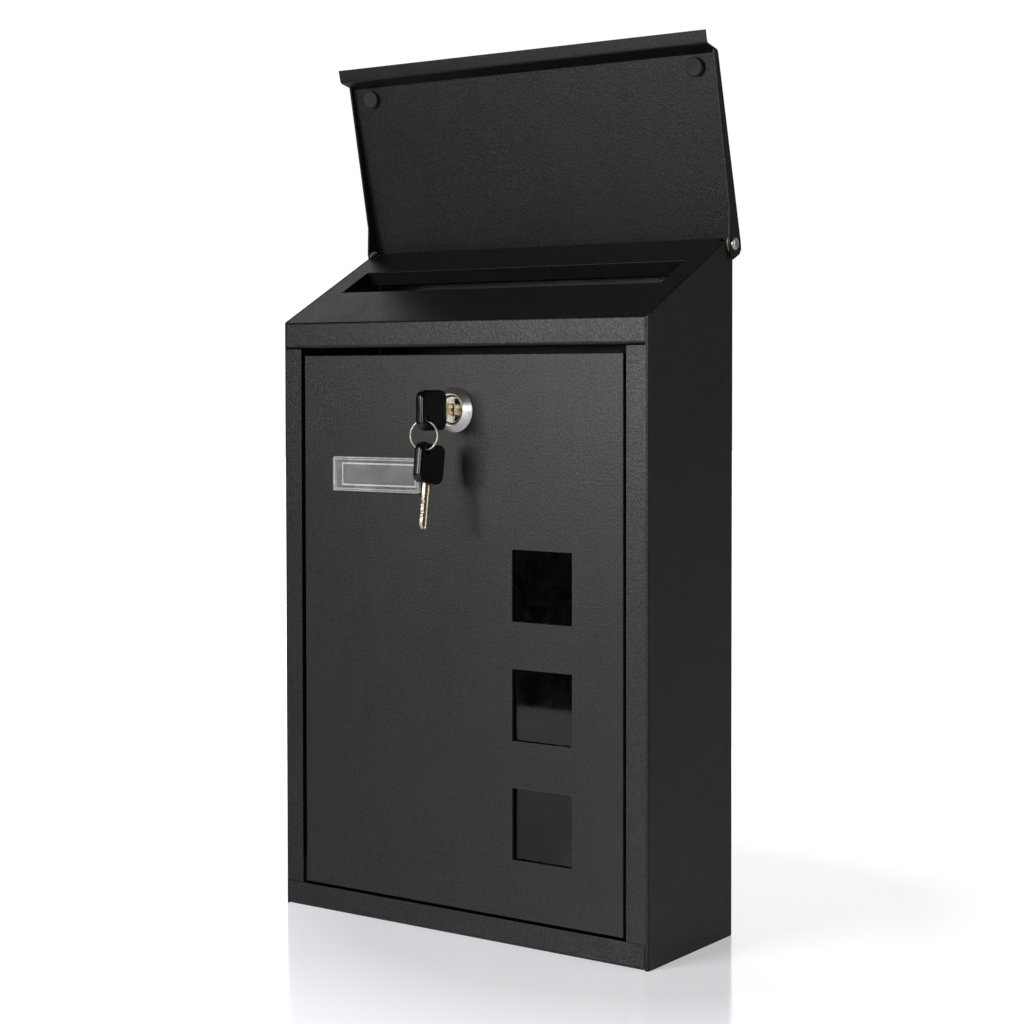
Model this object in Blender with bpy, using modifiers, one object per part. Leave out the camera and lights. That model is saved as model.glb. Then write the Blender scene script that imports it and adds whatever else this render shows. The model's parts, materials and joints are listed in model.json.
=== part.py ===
"""Lockable letter box of folded sheet steel, with a slot under a rain lid.

The base stands on Z = 0 with the origin at its middle, the front faces -Y, and X runs to
the right as seen from the front. Everything is in metres. The lid stands open, the door
is shut, and a key is in the unlocked cam lock with a spare key on its ring.
"""

from math import atan2, cos, pi, radians, sin, tan

import bmesh
import bpy
from mathutils import Matrix, Vector

# Cabinet
BODY_WIDTH = 0.260
BODY_DEPTH = 0.092
FRONT_HEIGHT = 0.353
BACK_HEIGHT = 0.402
SHEET = 0.0012
BEND_RADIUS = 0.0016
GAP = 0.0003
OPENING_HALF = 0.116
SILL_HEIGHT = 0.0142
HEADER_HEIGHT = 0.0152
STRIKE_LIP = 0.012
INSIDE_FLANGE = 0.012
REAR_STEP = (0.0024, 0.3992)
WALL_HOLE_RADIUS = 0.0035
WALL_HOLE_SIDE = 0.090
WALL_HOLE_LEVELS = (0.060, 0.320)

# Mail slot in the sloping top
SLOT_WIDTH = 0.2305
SLOT_LENGTH = 0.028
SLOT_MIDDLE = 0.0560
SLOT_LIP = 0.009
SIDE_FLANGE_RUN = (0.008, 0.090)

# Door
DOOR_WIDTH = 0.2276
DOOR_BOTTOM = 0.0155
DOOR_TOP = 0.3337
DOOR_SHEET = 0.0010
DOOR_RECESS = 0.0005
DOOR_RETURN = 0.012
DOOR_EDGE = 0.0007
DOOR_PIVOT_DEPTH = 0.006
DOOR_PIVOT_RISE = 0.008
PIVOT_RADIUS = 0.0019
PIN_HEAD_RADIUS = 0.0035
PIN_HEAD = 0.0020
PIN_REACH = 0.0042
PIN_TIP = 0.0006
BRACKET_SHEET = 0.0015
BRACKET_DEPTH = 0.011
BRACKET_CLEARANCE = 0.0020
BRACKET_TOP = 0.0065
BRACKET_SETBACK = 0.0012
WINDOW_LEFT = 0.0398
WINDOW_SIZE = 0.0405
WINDOW_PITCH = 0.0672
WINDOW_LOWEST = 0.0489
WINDOW_COUNT = 3
PANE_MARGIN = 0.0072
PANE_THICKNESS = 0.002
PANE_EDGE = 0.0003
TAPE_WIDTH = 0.006
TAPE_THICKNESS = 0.0008

# Name plate
PLATE_LEFT = -0.089
PLATE_WIDTH = 0.065
PLATE_BOTTOM = 0.2534
PLATE_HEIGHT = 0.0203
PLATE_THICKNESS = 0.0026
PLATE_TAPE = 0.0004
PLATE_RIM = 0.0036
PLATE_END_RIM = 0.0075
PLATE_TAPE_INSET = 0.002
PLATE_EDGE = 0.0006
PLATE_CARD_LEVEL = 0.42
CARD_THICKNESS = 0.0003

# Cam lock, measured outwards from the door's front face
LOCK_LEVEL = 0.302
BEZEL_RADIUS = 0.013
BEZEL_FRONT = 0.0048
BEZEL_EDGE = 0.0010
BEZEL_CROWN = 0.0092
BEZEL_CROWN_WIDTH = 0.0006
BARREL_RADIUS = 0.0094
BARREL_LENGTH = 0.020
PLUG_RADIUS = 0.0077
PLUG_FRONT = 0.0030
PLUG_CHAMFER = 0.0004
STUD_SIZE = 0.007
CAM_THICKNESS = 0.002
CAM_WIDTH = 0.014
CAM_REACH = 0.044
SCREW_RADIUS = 0.0017
SCREW_HEAD = 0.0038
SCREW_HEAD_HEIGHT = 0.0024
SCREW_CROSS = (0.0019, 0.0004)
SCREW_CROSS_DEPTH = 0.0012
SCREW_HEAD_RIM = 0.0009
THREAD_DEPTH = 0.0030
NUT_RADIUS = 0.014
NUT_HEIGHT = 0.004
NUT_EDGE = 0.0004
NUT_WASHER_RADIUS = 0.0125
NUT_WASHER = 0.0008
CAM_WASHER_RADIUS = 0.006
CAM_WASHER = 0.001
CAM_CRANK = (0.0165, 0.0235)
CAM_BEND_RADIUS = 0.0025
CAM_CLEARANCE = 0.0008
CAM_EDGE = 0.0003

# Keys and their ring
KEY_HEAD = 0.023
KEY_HEAD_THICKNESS = 0.005
KEY_HEAD_CORNER = 0.0040
KEY_HEAD_EDGE = 0.0010
KEY_BLADE = 0.0255
KEY_BLADE_WIDTH = 0.006
KEY_BLADE_THICKNESS = 0.002
KEY_TANG = 0.014
KEY_SHOULDER_OFFSET = 0.010
KEY_HOLE_RADIUS = 0.00225
KEY_HOLE_SIDE = 0.0055
KEY_HOLE_END = 0.0048
KEY_CUTS = (0.0003, 0.0006, 0.0002, 0.0005, 0.0003)
KEY_FIRST_CUT = 0.0075
KEY_CUT_PITCH = 0.0030
KEY_CUT_HALF = 0.0010
KEY_CUT_FLOOR = 0.0004
KEY_TIP = (0.0012, 0.0022)
KEY_GROOVE = (0.0007, 0.0005)
RING_RADIUS = 0.00825
RING_WIRE = 0.00075
RING_TURN = radians(15.0)
SPARE_TILT = radians(8.0)

# Lid, in its own frame: hinge at the origin, -Y runs along the panel to its front edge
LID_TILT = radians(76.0)
HINGE_INSET = 0.0040
HINGE_DROP = 0.006
LID_LENGTH = 0.108
LID_HALF_WIDTH = 0.1324
LID_START = 0.0
LID_STAND_OFF = 0.0033
LID_SIDE_DEPTH = 0.008
LID_SIDE_FRONT_DEPTH = 0.0042
LID_EAR_START = 0.020
LID_EAR = (
    (0.0046, 0.0075), (0.0070, 0.0050), (0.0086, -0.0028), (0.0076, -0.0044), (-0.0045, -0.0044)
)
LID_FRONT_FOLD = radians(63.0)
LID_FRONT_DEPTH = 0.012
LID_LIP = 0.0074
BUMPER_RADIUS = 0.005
BUMPER_SIDE = 0.1175
BUMPER_FROM_HINGE = 0.1005
BUMPER_EDGE = 0.0008
RIVET_RADIUS = 0.0018
RIVET_HEAD = 0.00365
RIVET_DOME = ((0.0, 0.0014), (0.55, 0.0012), (0.85, 0.0008), (1.0, 0.0002), (1.0, 0.0))
RIVET_TAIL = 0.0019
RIVET_TAIL_EDGE = 0.0004
RIVET_TAIL_SPREAD = 1.4
LID_WASHER_RADIUS = 0.005
RIVET_NOTCH = 0.0040

# Worked out from the above
HALF_WIDTH = BODY_WIDTH / 2
FRONT = -BODY_DEPTH / 2
BACK = BODY_DEPTH / 2
SLOPE = atan2(BACK_HEIGHT - FRONT_HEIGHT, BODY_DEPTH)
INNER_HALF = HALF_WIDTH - SHEET - GAP
FLANGE_END = HALF_WIDTH - SHEET / 2 - BEND_RADIUS + GAP
HEADER_BOTTOM = FRONT_HEIGHT - HEADER_HEIGHT
DOOR_FACE = FRONT + DOOR_RECESS
DOOR_BACK_FACE = DOOR_FACE + DOOR_SHEET
DOOR_AXIS = Vector((0.0, DOOR_FACE + DOOR_PIVOT_DEPTH, DOOR_BOTTOM + DOOR_PIVOT_RISE))
LID_AXIS = Vector((0.0, BACK - HINGE_INSET, BACK_HEIGHT - HINGE_DROP))
SLOPE_OFFSET = HINGE_DROP * cos(SLOPE) - HINGE_INSET * sin(SLOPE)
LID_INNER = SLOPE_OFFSET + LID_STAND_OFF
LOCK_AXIS = Vector((0.0, DOOR_FACE, LOCK_LEVEL))
KEY_HOLE = Vector(
    (0.0, FRONT - KEY_SHOULDER_OFFSET - KEY_HEAD + KEY_HOLE_END, LOCK_LEVEL - KEY_HOLE_SIDE)
)
RING_AXIS = KEY_HOLE - Vector((0.0, 0.0, GAP))
SPARE_AXIS = RING_AXIS - Vector((0.0, 0.0, 2 * RING_RADIUS))

ALONG_X = Matrix(((0, 0, 1), (1, 0, 0), (0, 1, 0))).to_euler()
CUT_MARGIN = 0.002
REACH = 0.6 * BODY_WIDTH
HOLE_STEPS = 16


def clear_scene():
    for thing in list(bpy.data.objects):
        bpy.data.objects.remove(thing, do_unlink=True)


def new_collection(name):
    collection = bpy.data.collections.new(name)
    bpy.context.scene.collection.children.link(collection)
    return collection


def new_material(name, color, roughness, metallic, alpha=1.0):
    material = bpy.data.materials.new(name)
    material.use_nodes = True
    shader = material.node_tree.nodes["Principled BSDF"]
    shader.inputs["Base Color"].default_value = (*color, 1.0)
    shader.inputs["Roughness"].default_value = roughness
    shader.inputs["Metallic"].default_value = metallic
    shader.inputs["Alpha"].default_value = alpha
    return material


def into(collection, thing):
    """Move an object out of every collection and into this one."""
    for other in list(thing.users_collection):
        other.objects.unlink(thing)
    collection.objects.link(thing)


def finish(name, thing, material):
    """Name a sub-part, give it its material and put it with the parts."""
    thing.name = name
    thing.data.name = name
    thing.data.materials.clear()
    thing.data.materials.append(material)
    into(PARTS, thing)
    return thing


def as_cutter(thing):
    thing.hide_render = True
    thing.display_type = "WIRE"
    into(CUTTERS, thing)
    return thing


def combine(target, tool, operation):
    """Add one exact Boolean to a sub-part, with the tool kept among the cutters."""
    as_cutter(tool)
    modifier = target.modifiers.new(operation.lower(), "BOOLEAN")
    modifier.operation = operation
    modifier.object = tool
    return target


def cut(target, tool):
    return combine(target, tool, "DIFFERENCE")


def join(target, tool):
    return combine(target, tool, "UNION")


def box(low, high, frame=None):
    """A box between two corners, in world axes or in the axes of a 4x4 frame."""
    bpy.ops.mesh.primitive_cube_add(size=1.0)
    thing = bpy.context.active_object
    low, high = Vector(low), Vector(high)
    size = Matrix.Diagonal((*(high - low), 1.0))
    thing.data.transform(Matrix.Translation((low + high) / 2) @ size)
    if frame is not None:
        thing.matrix_world = frame
    return thing


def cylinder(radius, start, end, vertices=24):
    """A cylinder from one point to another."""
    start, end = Vector(start), Vector(end)
    bpy.ops.mesh.primitive_cylinder_add(
        radius=radius, depth=(end - start).length, vertices=vertices
    )
    thing = bpy.context.active_object
    thing.rotation_euler = (end - start).to_track_quat("Z", "Y").to_euler()
    thing.location = (start + end) / 2
    return thing


def bevel(thing, width, segments=2):
    modifier = thing.modifiers.new("edges", "BEVEL")
    modifier.width = width
    modifier.segments = segments
    modifier.limit_method = "ANGLE"
    modifier.angle_limit = radians(40)
    return thing


def flat_outline(points, thickness):
    """A closed outline in the XY plane, thickened both ways along Z, as a welded mesh."""
    curve = bpy.data.curves.new("outline", "CURVE")
    curve.dimensions = "2D"
    curve.fill_mode = "BOTH"
    curve.extrude = thickness / 2
    spline = curve.splines.new("POLY")
    spline.points.add(len(points) - 1)
    for point, (x, y) in zip(spline.points, points):
        point.co = (x, y, 0.0, 1.0)
    spline.use_cyclic_u = True
    source = bpy.data.objects.new("outline", curve)
    bpy.context.scene.collection.objects.link(source)
    bpy.context.view_layer.update()
    evaluated = source.evaluated_get(bpy.context.evaluated_depsgraph_get())
    mesh = bpy.data.meshes.new_from_object(evaluated)
    welded = bmesh.new()
    welded.from_mesh(mesh)
    bmesh.ops.remove_doubles(welded, verts=welded.verts, dist=1e-6)
    bmesh.ops.recalc_face_normals(welded, faces=welded.faces)
    welded.to_mesh(mesh)
    welded.free()
    bpy.data.objects.remove(source, do_unlink=True)
    thing = bpy.data.objects.new("outline", mesh)
    bpy.context.scene.collection.objects.link(thing)
    return thing


def profile_along_x(points, half_width, middle=0.0):
    """A (Y, Z) section carried along X."""
    thing = flat_outline(points, 2 * half_width)
    thing.rotation_euler = ALONG_X
    thing.location.x = middle
    return thing


def arc(center, radius, start, end, steps):
    """Points on an arc, both ends included, with angles in radians."""
    turns = [start + (end - start) * step / steps for step in range(steps + 1)]
    return [(center[0] + radius * cos(turn), center[1] + radius * sin(turn)) for turn in turns]


def rounded_rectangle(low, high, radius, steps=8):
    corners = (
        (high[0] - radius, high[1] - radius),
        (low[0] + radius, high[1] - radius),
        (low[0] + radius, low[1] + radius),
        (high[0] - radius, low[1] + radius),
    )
    points = []
    for quarter, corner in enumerate(corners):
        start = quarter * pi / 2
        points += arc(corner, radius, start, start + pi / 2, steps)
    return points


def folded_sheet(path, thickness, radius=BEND_RADIUS, steps=6):
    """The outline of a sheet whose middle line follows a path, with round bends."""
    path = [Vector(point) for point in path]
    left, right = [], []

    def add(point, normal):
        left.append(tuple(point + normal * thickness / 2))
        right.append(tuple(point - normal * thickness / 2))

    first = (path[1] - path[0]).normalized()
    add(path[0], Vector((-first.y, first.x)))
    for before, corner, after in zip(path, path[1:], path[2:]):
        inward = (corner - before).normalized()
        outward = (after - corner).normalized()
        turn = atan2(inward.cross(outward), inward.dot(outward))
        side = 1.0 if turn > 0 else -1.0
        normal = Vector((-inward.y, inward.x)) * side
        center = corner - inward * radius * tan(abs(turn) / 2) + normal * radius
        for step in range(steps + 1):
            spoke = Matrix.Rotation(turn * step / steps, 2) @ -normal
            add(center + spoke * radius, spoke * -side)
    last = (path[-1] - path[-2]).normalized()
    add(path[-1], Vector((-last.y, last.x)))
    return left + right[::-1]


def turned(profile, origin, axis, steps=24, closed=False):
    """A shape turned about an axis from (radius, height) points down its outer side."""
    mesh = bpy.data.meshes.new("turned")
    vertices = [(radius, 0.0, height) for radius, height in profile]
    edges = [(index, index + 1) for index in range(len(vertices) - 1)]
    if closed:
        edges.append((len(vertices) - 1, 0))
    mesh.from_pydata(vertices, edges, [])
    thing = bpy.data.objects.new("turned", mesh)
    bpy.context.scene.collection.objects.link(thing)
    screw = thing.modifiers.new("turn", "SCREW")
    screw.axis = "Z"
    screw.steps = steps
    screw.render_steps = steps
    screw.use_merge_vertices = True
    screw.merge_threshold = 1e-5
    screw.use_smooth_shade = False
    thing.rotation_euler = Vector(axis).to_track_quat("Z", "Y").to_euler()
    thing.location = origin
    return thing


def ring_profile(inner, outer, bottom, top):
    return [(outer, top), (outer, bottom), (inner, bottom), (inner, top)]


def pivot(name, location, parent=None, rotation=0.0):
    """An empty on a joint's axis; rotation is about X."""
    empty = bpy.data.objects.new(name, None)
    PARTS.objects.link(empty)
    empty.empty_display_size = 0.01
    empty.location = location
    empty.rotation_euler.x = rotation
    bpy.context.view_layer.update()
    if parent is not None:
        carry(parent, empty)
    return empty


def carry(parent, *children):
    """Parent objects to an empty without moving them."""
    bpy.context.view_layer.update()
    for child in children:
        child.parent = parent
        child.matrix_parent_inverse = parent.matrix_world.inverted()


def seat(parent, *children):
    """Parent objects, with their Boolean tools, that are modelled in the empty's own frame."""
    for child in children:
        child.parent = parent
        for modifier in child.modifiers:
            if modifier.type == "BOOLEAN":
                modifier.object.parent = parent


def slope_frame():
    """Y runs up the sloping top from its front edge and Z stands square on it."""
    turn = Matrix.Rotation(SLOPE, 4, "X")
    return Matrix.Translation((0.0, FRONT, FRONT_HEIGHT)) @ turn


def on_slope(half_width, along, off):
    return box((-half_width, along[0], off[0]), (half_width, along[1], off[1]), slope_frame())


def pair(make):
    """Build the left and the right one of a mirrored pair."""
    return [make(side, name) for side, name in ((-1, "left"), (1, "right"))]


# Cabinet pieces


def wrap_shell(material):
    """Back, both sides and the two upright front strips, folded from one sheet."""
    side = HALF_WIDTH - SHEET / 2
    front = FRONT + SHEET / 2
    back = BACK - SHEET / 2
    path = [(-OPENING_HALF, front), (-side, front), (-side, back)]
    path += [(-x, y) for x, y in reversed(path)]
    blank = BACK_HEIGHT + INSIDE_FLANGE
    shell = flat_outline(folded_sheet(path, SHEET), blank)
    shell.location.z = blank / 2
    above = on_slope(BODY_WIDTH, (-BODY_DEPTH, 2 * BODY_DEPTH), (0.0, BODY_DEPTH))
    cut(shell, above)
    step_low = (-BODY_WIDTH, BACK - REAR_STEP[0], REAR_STEP[1])
    cut(shell, box(step_low, (BODY_WIDTH, BACK + CUT_MARGIN, 2 * BACK_HEIGHT)))
    notch_front = FRONT - CUT_MARGIN
    notch_back = FRONT + SHEET + GAP
    for low, high in ((-CUT_MARGIN, SILL_HEIGHT + GAP), (HEADER_BOTTOM - GAP, 2 * BACK_HEIGHT)):
        cut(shell, box((-FLANGE_END, notch_front, low), (FLANGE_END, notch_back, high)))
    for level in WALL_HOLE_LEVELS:
        for x in (-WALL_HOLE_SIDE, WALL_HOLE_SIDE):
            start = (x, BACK - 3 * SHEET, level)
            end = (x, BACK + CUT_MARGIN, level)
            cut(shell, cylinder(WALL_HOLE_RADIUS, start, end, HOLE_STEPS))
    across = Vector((REACH, 0, 0))
    cut(shell, cylinder(RIVET_RADIUS + GAP, LID_AXIS - across, LID_AXIS + across, HOLE_STEPS))
    return finish("wrap_shell", shell, material)


def trim_tab(panel, low, high):
    """Narrow a front tab so that it fits between the folds of the side walls."""
    for side in (-1, 1):
        edges = sorted((side * (FLANGE_END - GAP), side * HALF_WIDTH))
        inner = FRONT + SHEET + BEND_RADIUS
        cut(panel, box((edges[0], FRONT - CUT_MARGIN, low), (edges[1], inner, high)))


def top_panel(material):
    """Sloping top with the mail slot, folded down in front into the header and its lip."""
    front = FRONT + SHEET / 2
    rear = BACK - SHEET - 2 * GAP - SHEET / 2
    lift = FRONT_HEIGHT - SHEET / 2 / cos(SLOPE)
    lip_level = HEADER_BOTTOM + SHEET / 2
    path = [
        (FRONT + STRIKE_LIP, lip_level),
        (front, lip_level),
        (front, lift + (front - FRONT) * tan(SLOPE)),
        (rear, lift + (rear - FRONT) * tan(SLOPE)),
        (rear, lift + (rear - FRONT) * tan(SLOPE) - INSIDE_FLANGE),
    ]
    panel = profile_along_x(folded_sheet(path, SHEET), INNER_HALF)
    slot = (SLOT_MIDDLE - SLOT_LENGTH / 2, SLOT_MIDDLE + SLOT_LENGTH / 2)
    overlap = -SHEET / 2
    for edge in ((slot[0] - SHEET, slot[0]), (slot[1], slot[1] + SHEET)):
        join(panel, on_slope(SLOT_WIDTH / 2, edge, (-SLOT_LIP, overlap)))
    for side in (-1, 1):
        edges = sorted((side * (INNER_HALF - SHEET), side * INNER_HALF))
        low = (edges[0], SIDE_FLANGE_RUN[0], -INSIDE_FLANGE)
        join(panel, box(low, (edges[1], SIDE_FLANGE_RUN[1], overlap), slope_frame()))
    cut(panel, on_slope(SLOT_WIDTH / 2, slot, (-2 * SLOT_LIP, CUT_MARGIN)))
    for side in (-1, 1):
        edges = sorted((side * (INNER_HALF - RIVET_NOTCH), side * HALF_WIDTH))
        low = (edges[0], LID_AXIS.y - RIVET_NOTCH, LID_AXIS.z - 3 * RIVET_NOTCH)
        cut(panel, box(low, (edges[1], BACK, LID_AXIS.z + RIVET_NOTCH)))
    trim_tab(panel, HEADER_BOTTOM - CUT_MARGIN, BACK_HEIGHT)
    return finish("top_panel", panel, material)


def bottom_panel(material):
    """Floor with the front sill and flanges turned up inside the walls."""
    rear = BACK - SHEET - 2 * GAP - SHEET / 2
    level = SHEET / 2
    path = [
        (FRONT + SHEET / 2, SILL_HEIGHT),
        (FRONT + SHEET / 2, level),
        (rear, level),
        (rear, INSIDE_FLANGE),
    ]
    panel = profile_along_x(folded_sheet(path, SHEET), INNER_HALF)
    ends = (FRONT + INSIDE_FLANGE, BACK - INSIDE_FLANGE)
    for side in (-1, 1):
        edges = sorted((side * (INNER_HALF - SHEET), side * INNER_HALF))
        join(panel, box((edges[0], ends[0], level), (edges[1], ends[1], INSIDE_FLANGE)))
    trim_tab(panel, -CUT_MARGIN, SILL_HEIGHT + CUT_MARGIN)
    return finish("bottom_panel", panel, material)


def hinge_bracket(side, name, material):
    """An angle on the floor whose upright carries one end of the door."""
    thickness = BRACKET_SHEET
    depth = BRACKET_DEPTH
    upright = DOOR_WIDTH / 2 + BRACKET_CLEARANCE
    foot = SHEET + GAP + thickness / 2
    foot_end = INNER_HALF - SHEET - 2 * GAP
    top = DOOR_AXIS.z + BRACKET_TOP
    path = [(side * foot_end, foot), (side * upright, foot), (side * upright, top)]
    bracket = flat_outline(folded_sheet(path, thickness), depth)
    bracket.rotation_euler.x = pi / 2
    bracket.location.y = DOOR_AXIS.y + BRACKET_SETBACK
    hole_start = (side * (upright - depth), DOOR_AXIS.y, DOOR_AXIS.z)
    hole_end = (side * (upright + depth), DOOR_AXIS.y, DOOR_AXIS.z)
    cut(bracket, cylinder(PIVOT_RADIUS + GAP, hole_start, hole_end, HOLE_STEPS))
    return finish(f"hinge_bracket_{name}", bracket, material)


def lid_rivet(side, name, material):
    """A rivet through lid flange, washer and side wall, domed outside and flat inside."""
    head = LID_HALF_WIDTH + GAP
    tail = HALF_WIDTH - SHEET - GAP
    spread = RIVET_RADIUS * RIVET_TAIL_SPREAD
    profile = [(part * RIVET_HEAD, head + rise) for part, rise in RIVET_DOME]
    profile += [(RIVET_RADIUS, head), (RIVET_RADIUS, tail), (spread, tail)]
    profile += [(spread, tail - RIVET_TAIL + RIVET_TAIL_EDGE), (0.0, tail - RIVET_TAIL)]
    rivet = turned(profile, LID_AXIS, (side, 0, 0), 32)
    return finish(f"lid_rivet_{name}", rivet, material)


def lid_washer(side, name, material):
    """A thin plastic washer that keeps the lid's flange off the painted wall."""
    bottom = HALF_WIDTH + GAP
    top = LID_HALF_WIDTH - SHEET - GAP
    profile = ring_profile(RIVET_RADIUS + GAP, LID_WASHER_RADIUS, bottom, top)
    washer = turned(profile, LID_AXIS, (side, 0, 0), 32, closed=True)
    return finish(f"lid_washer_{name}", washer, material)


# Lid pieces


def lid_panel(material):
    """Flat rain lid with side flanges that end in ears, a front flange and a finger lip."""
    middle = LID_INNER + SHEET / 2
    fold_y = -LID_LENGTH - LID_FRONT_DEPTH * cos(LID_FRONT_FOLD)
    fold_z = middle - LID_FRONT_DEPTH * sin(LID_FRONT_FOLD)
    path = [(-LID_START, middle), (-LID_LENGTH, middle), (fold_y, fold_z)]
    path.append((fold_y - LID_LIP, fold_z))
    panel = profile_along_x(folded_sheet(path, SHEET), LID_HALF_WIDTH)
    outer = LID_INNER + SHEET
    inner = outer - LID_SIDE_DEPTH
    outline = [(-LID_START, outer), *LID_EAR, (-LID_EAR_START, inner)]
    corner = -LID_LENGTH + SHEET / 2
    front_run = LID_SIDE_FRONT_DEPTH / tan(LID_FRONT_FOLD)
    outline.append((corner - front_run, outer - LID_SIDE_FRONT_DEPTH))
    outline.append((corner, outer - SHEET / 3))
    for side in (-1, 1):
        middle_x = side * (LID_HALF_WIDTH - SHEET / 2)
        join(panel, profile_along_x(outline, SHEET / 2, middle_x))
    cut(panel, cylinder(RIVET_RADIUS + GAP, (-REACH, 0, 0), (REACH, 0, 0), HOLE_STEPS))
    return finish("lid_panel", panel, material)


def lid_bumper(side, name, material):
    """A rubber button under the lid that lands on the front edge of the slope."""
    top = LID_INNER - GAP
    bottom = SLOPE_OFFSET + GAP
    profile = [(0.0, top), (BUMPER_RADIUS, top), (BUMPER_RADIUS, bottom + BUMPER_EDGE)]
    profile += [(BUMPER_RADIUS - BUMPER_EDGE, bottom), (0.0, bottom)]
    origin = (side * BUMPER_SIDE, -BUMPER_FROM_HINGE, 0.0)
    bumper = turned(profile, origin, (0, 0, 1), 40)
    return finish(f"lid_bumper_{name}", bumper, material)


# Door pieces


def door_panel(material):
    """Door pressed as a shallow tray, with three windows and the lock hole."""
    half = DOOR_WIDTH / 2
    tray = box((-half, DOOR_FACE, DOOR_BOTTOM), (half, DOOR_FACE + DOOR_RETURN, DOOR_TOP))
    bevel(tray, DOOR_EDGE)
    inset = half - DOOR_SHEET
    hollow_low = (-inset, DOOR_BACK_FACE, DOOR_BOTTOM + DOOR_SHEET)
    hollow_high = (inset, DOOR_FACE + 2 * DOOR_RETURN, DOOR_TOP - DOOR_SHEET)
    cut(tray, box(hollow_low, hollow_high))
    for number in range(WINDOW_COUNT):
        low = WINDOW_LOWEST + number * WINDOW_PITCH
        window_low = (WINDOW_LEFT, DOOR_FACE - CUT_MARGIN, low)
        window_high = (WINDOW_LEFT + WINDOW_SIZE, DOOR_BACK_FACE + CUT_MARGIN, low + WINDOW_SIZE)
        cut(tray, box(window_low, window_high))
    through = Vector((0, 2 * CUT_MARGIN, 0))
    cut(tray, cylinder(BARREL_RADIUS + GAP, LOCK_AXIS - through, LOCK_AXIS + through, 32))
    across = Vector((REACH, 0, 0))
    cut(tray, cylinder(PIVOT_RADIUS + GAP, DOOR_AXIS - across, DOOR_AXIS + across, HOLE_STEPS))
    return finish("door_panel", tray, material)


def door_pin(side, name, material):
    """The pin that one lower corner of the door turns on."""
    inside = DOOR_WIDTH / 2 - DOOR_SHEET - GAP
    outside = DOOR_WIDTH / 2 + PIN_REACH
    profile = [(0.0, outside), (PIVOT_RADIUS - PIN_TIP, outside)]
    profile += [(PIVOT_RADIUS, outside - PIN_TIP)]
    profile += [(PIVOT_RADIUS, inside), (PIN_HEAD_RADIUS, inside)]
    profile += [(PIN_HEAD_RADIUS, inside - PIN_HEAD + PIN_TIP)]
    profile += [(PIN_HEAD_RADIUS - PIN_TIP, inside - PIN_HEAD), (0.0, inside - PIN_HEAD)]
    pin = turned(profile, DOOR_AXIS, (side, 0, 0), 32)
    return finish(f"door_pin_{name}", pin, material)


def window_pane(material):
    """One clear sheet behind all three windows."""
    top = WINDOW_LOWEST + (WINDOW_COUNT - 1) * WINDOW_PITCH + WINDOW_SIZE
    front = DOOR_BACK_FACE + TAPE_THICKNESS + 2 * GAP
    low = (WINDOW_LEFT - PANE_MARGIN, front, WINDOW_LOWEST - PANE_MARGIN)
    right = WINDOW_LEFT + WINDOW_SIZE + PANE_MARGIN
    pane = box(low, (right, front + PANE_THICKNESS, top + PANE_MARGIN))
    bevel(pane, PANE_EDGE, 1)
    return finish("window_pane", pane, material)


def pane_tape(side, name, material):
    """A strip of foam tape that holds one long edge of the window pane."""
    middle = WINDOW_LEFT + WINDOW_SIZE / 2
    inner = middle + side * (WINDOW_SIZE / 2 + 2 * GAP)
    edges = sorted((inner, inner + side * TAPE_WIDTH))
    top = WINDOW_LOWEST + (WINDOW_COUNT - 1) * WINDOW_PITCH + WINDOW_SIZE
    front = DOOR_BACK_FACE + GAP
    low = (edges[0], front, WINDOW_LOWEST - TAPE_WIDTH)
    tape = box(low, (edges[1], front + TAPE_THICKNESS, top + TAPE_WIDTH))
    return finish(f"pane_tape_{name}", tape, material)


def plate_tape(material):
    """The adhesive pad behind the name plate."""
    front = DOOR_FACE - GAP - PLATE_TAPE
    inset = PLATE_TAPE_INSET
    low = (PLATE_LEFT + inset, front, PLATE_BOTTOM + inset)
    right = PLATE_LEFT + PLATE_WIDTH - inset
    tape = box(low, (right, front + PLATE_TAPE, PLATE_BOTTOM + PLATE_HEIGHT - inset))
    return finish("nameplate_tape", tape, material)


def nameplate_holder(material):
    """Clear pocket for the name card, open at its right end."""
    back = DOOR_FACE - 2 * GAP - PLATE_TAPE
    front = back - PLATE_THICKNESS
    right = PLATE_LEFT + PLATE_WIDTH
    top = PLATE_BOTTOM + PLATE_HEIGHT
    holder = box((PLATE_LEFT, front, PLATE_BOTTOM), (right, back, top))
    bevel(holder, PLATE_EDGE)
    pocket_front, pocket_back = card_depths(CARD_THICKNESS + 2 * GAP)
    low = (PLATE_LEFT + PLATE_END_RIM, pocket_front, PLATE_BOTTOM + PLATE_RIM)
    cut(holder, box(low, (right + CUT_MARGIN, pocket_back, top - PLATE_RIM)))
    return finish("nameplate_holder", holder, material)


def card_depths(thickness):
    """Front and back of a layer centred on the card's own plane."""
    middle = DOOR_FACE - 2 * GAP - PLATE_TAPE - PLATE_CARD_LEVEL * PLATE_THICKNESS
    return middle - thickness / 2, middle + thickness / 2


def name_card(material):
    """A blank paper card in the name plate."""
    front, back = card_depths(CARD_THICKNESS)
    rim = PLATE_RIM + GAP
    low = (PLATE_LEFT + PLATE_END_RIM + GAP, front, PLATE_BOTTOM + rim)
    right = PLATE_LEFT + PLATE_WIDTH - 2 * GAP
    card = box(low, (right, back, PLATE_BOTTOM + PLATE_HEIGHT - rim))
    return finish("name_card", card, material)


# Lock pieces, turned about an axis that points out of the door


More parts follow.
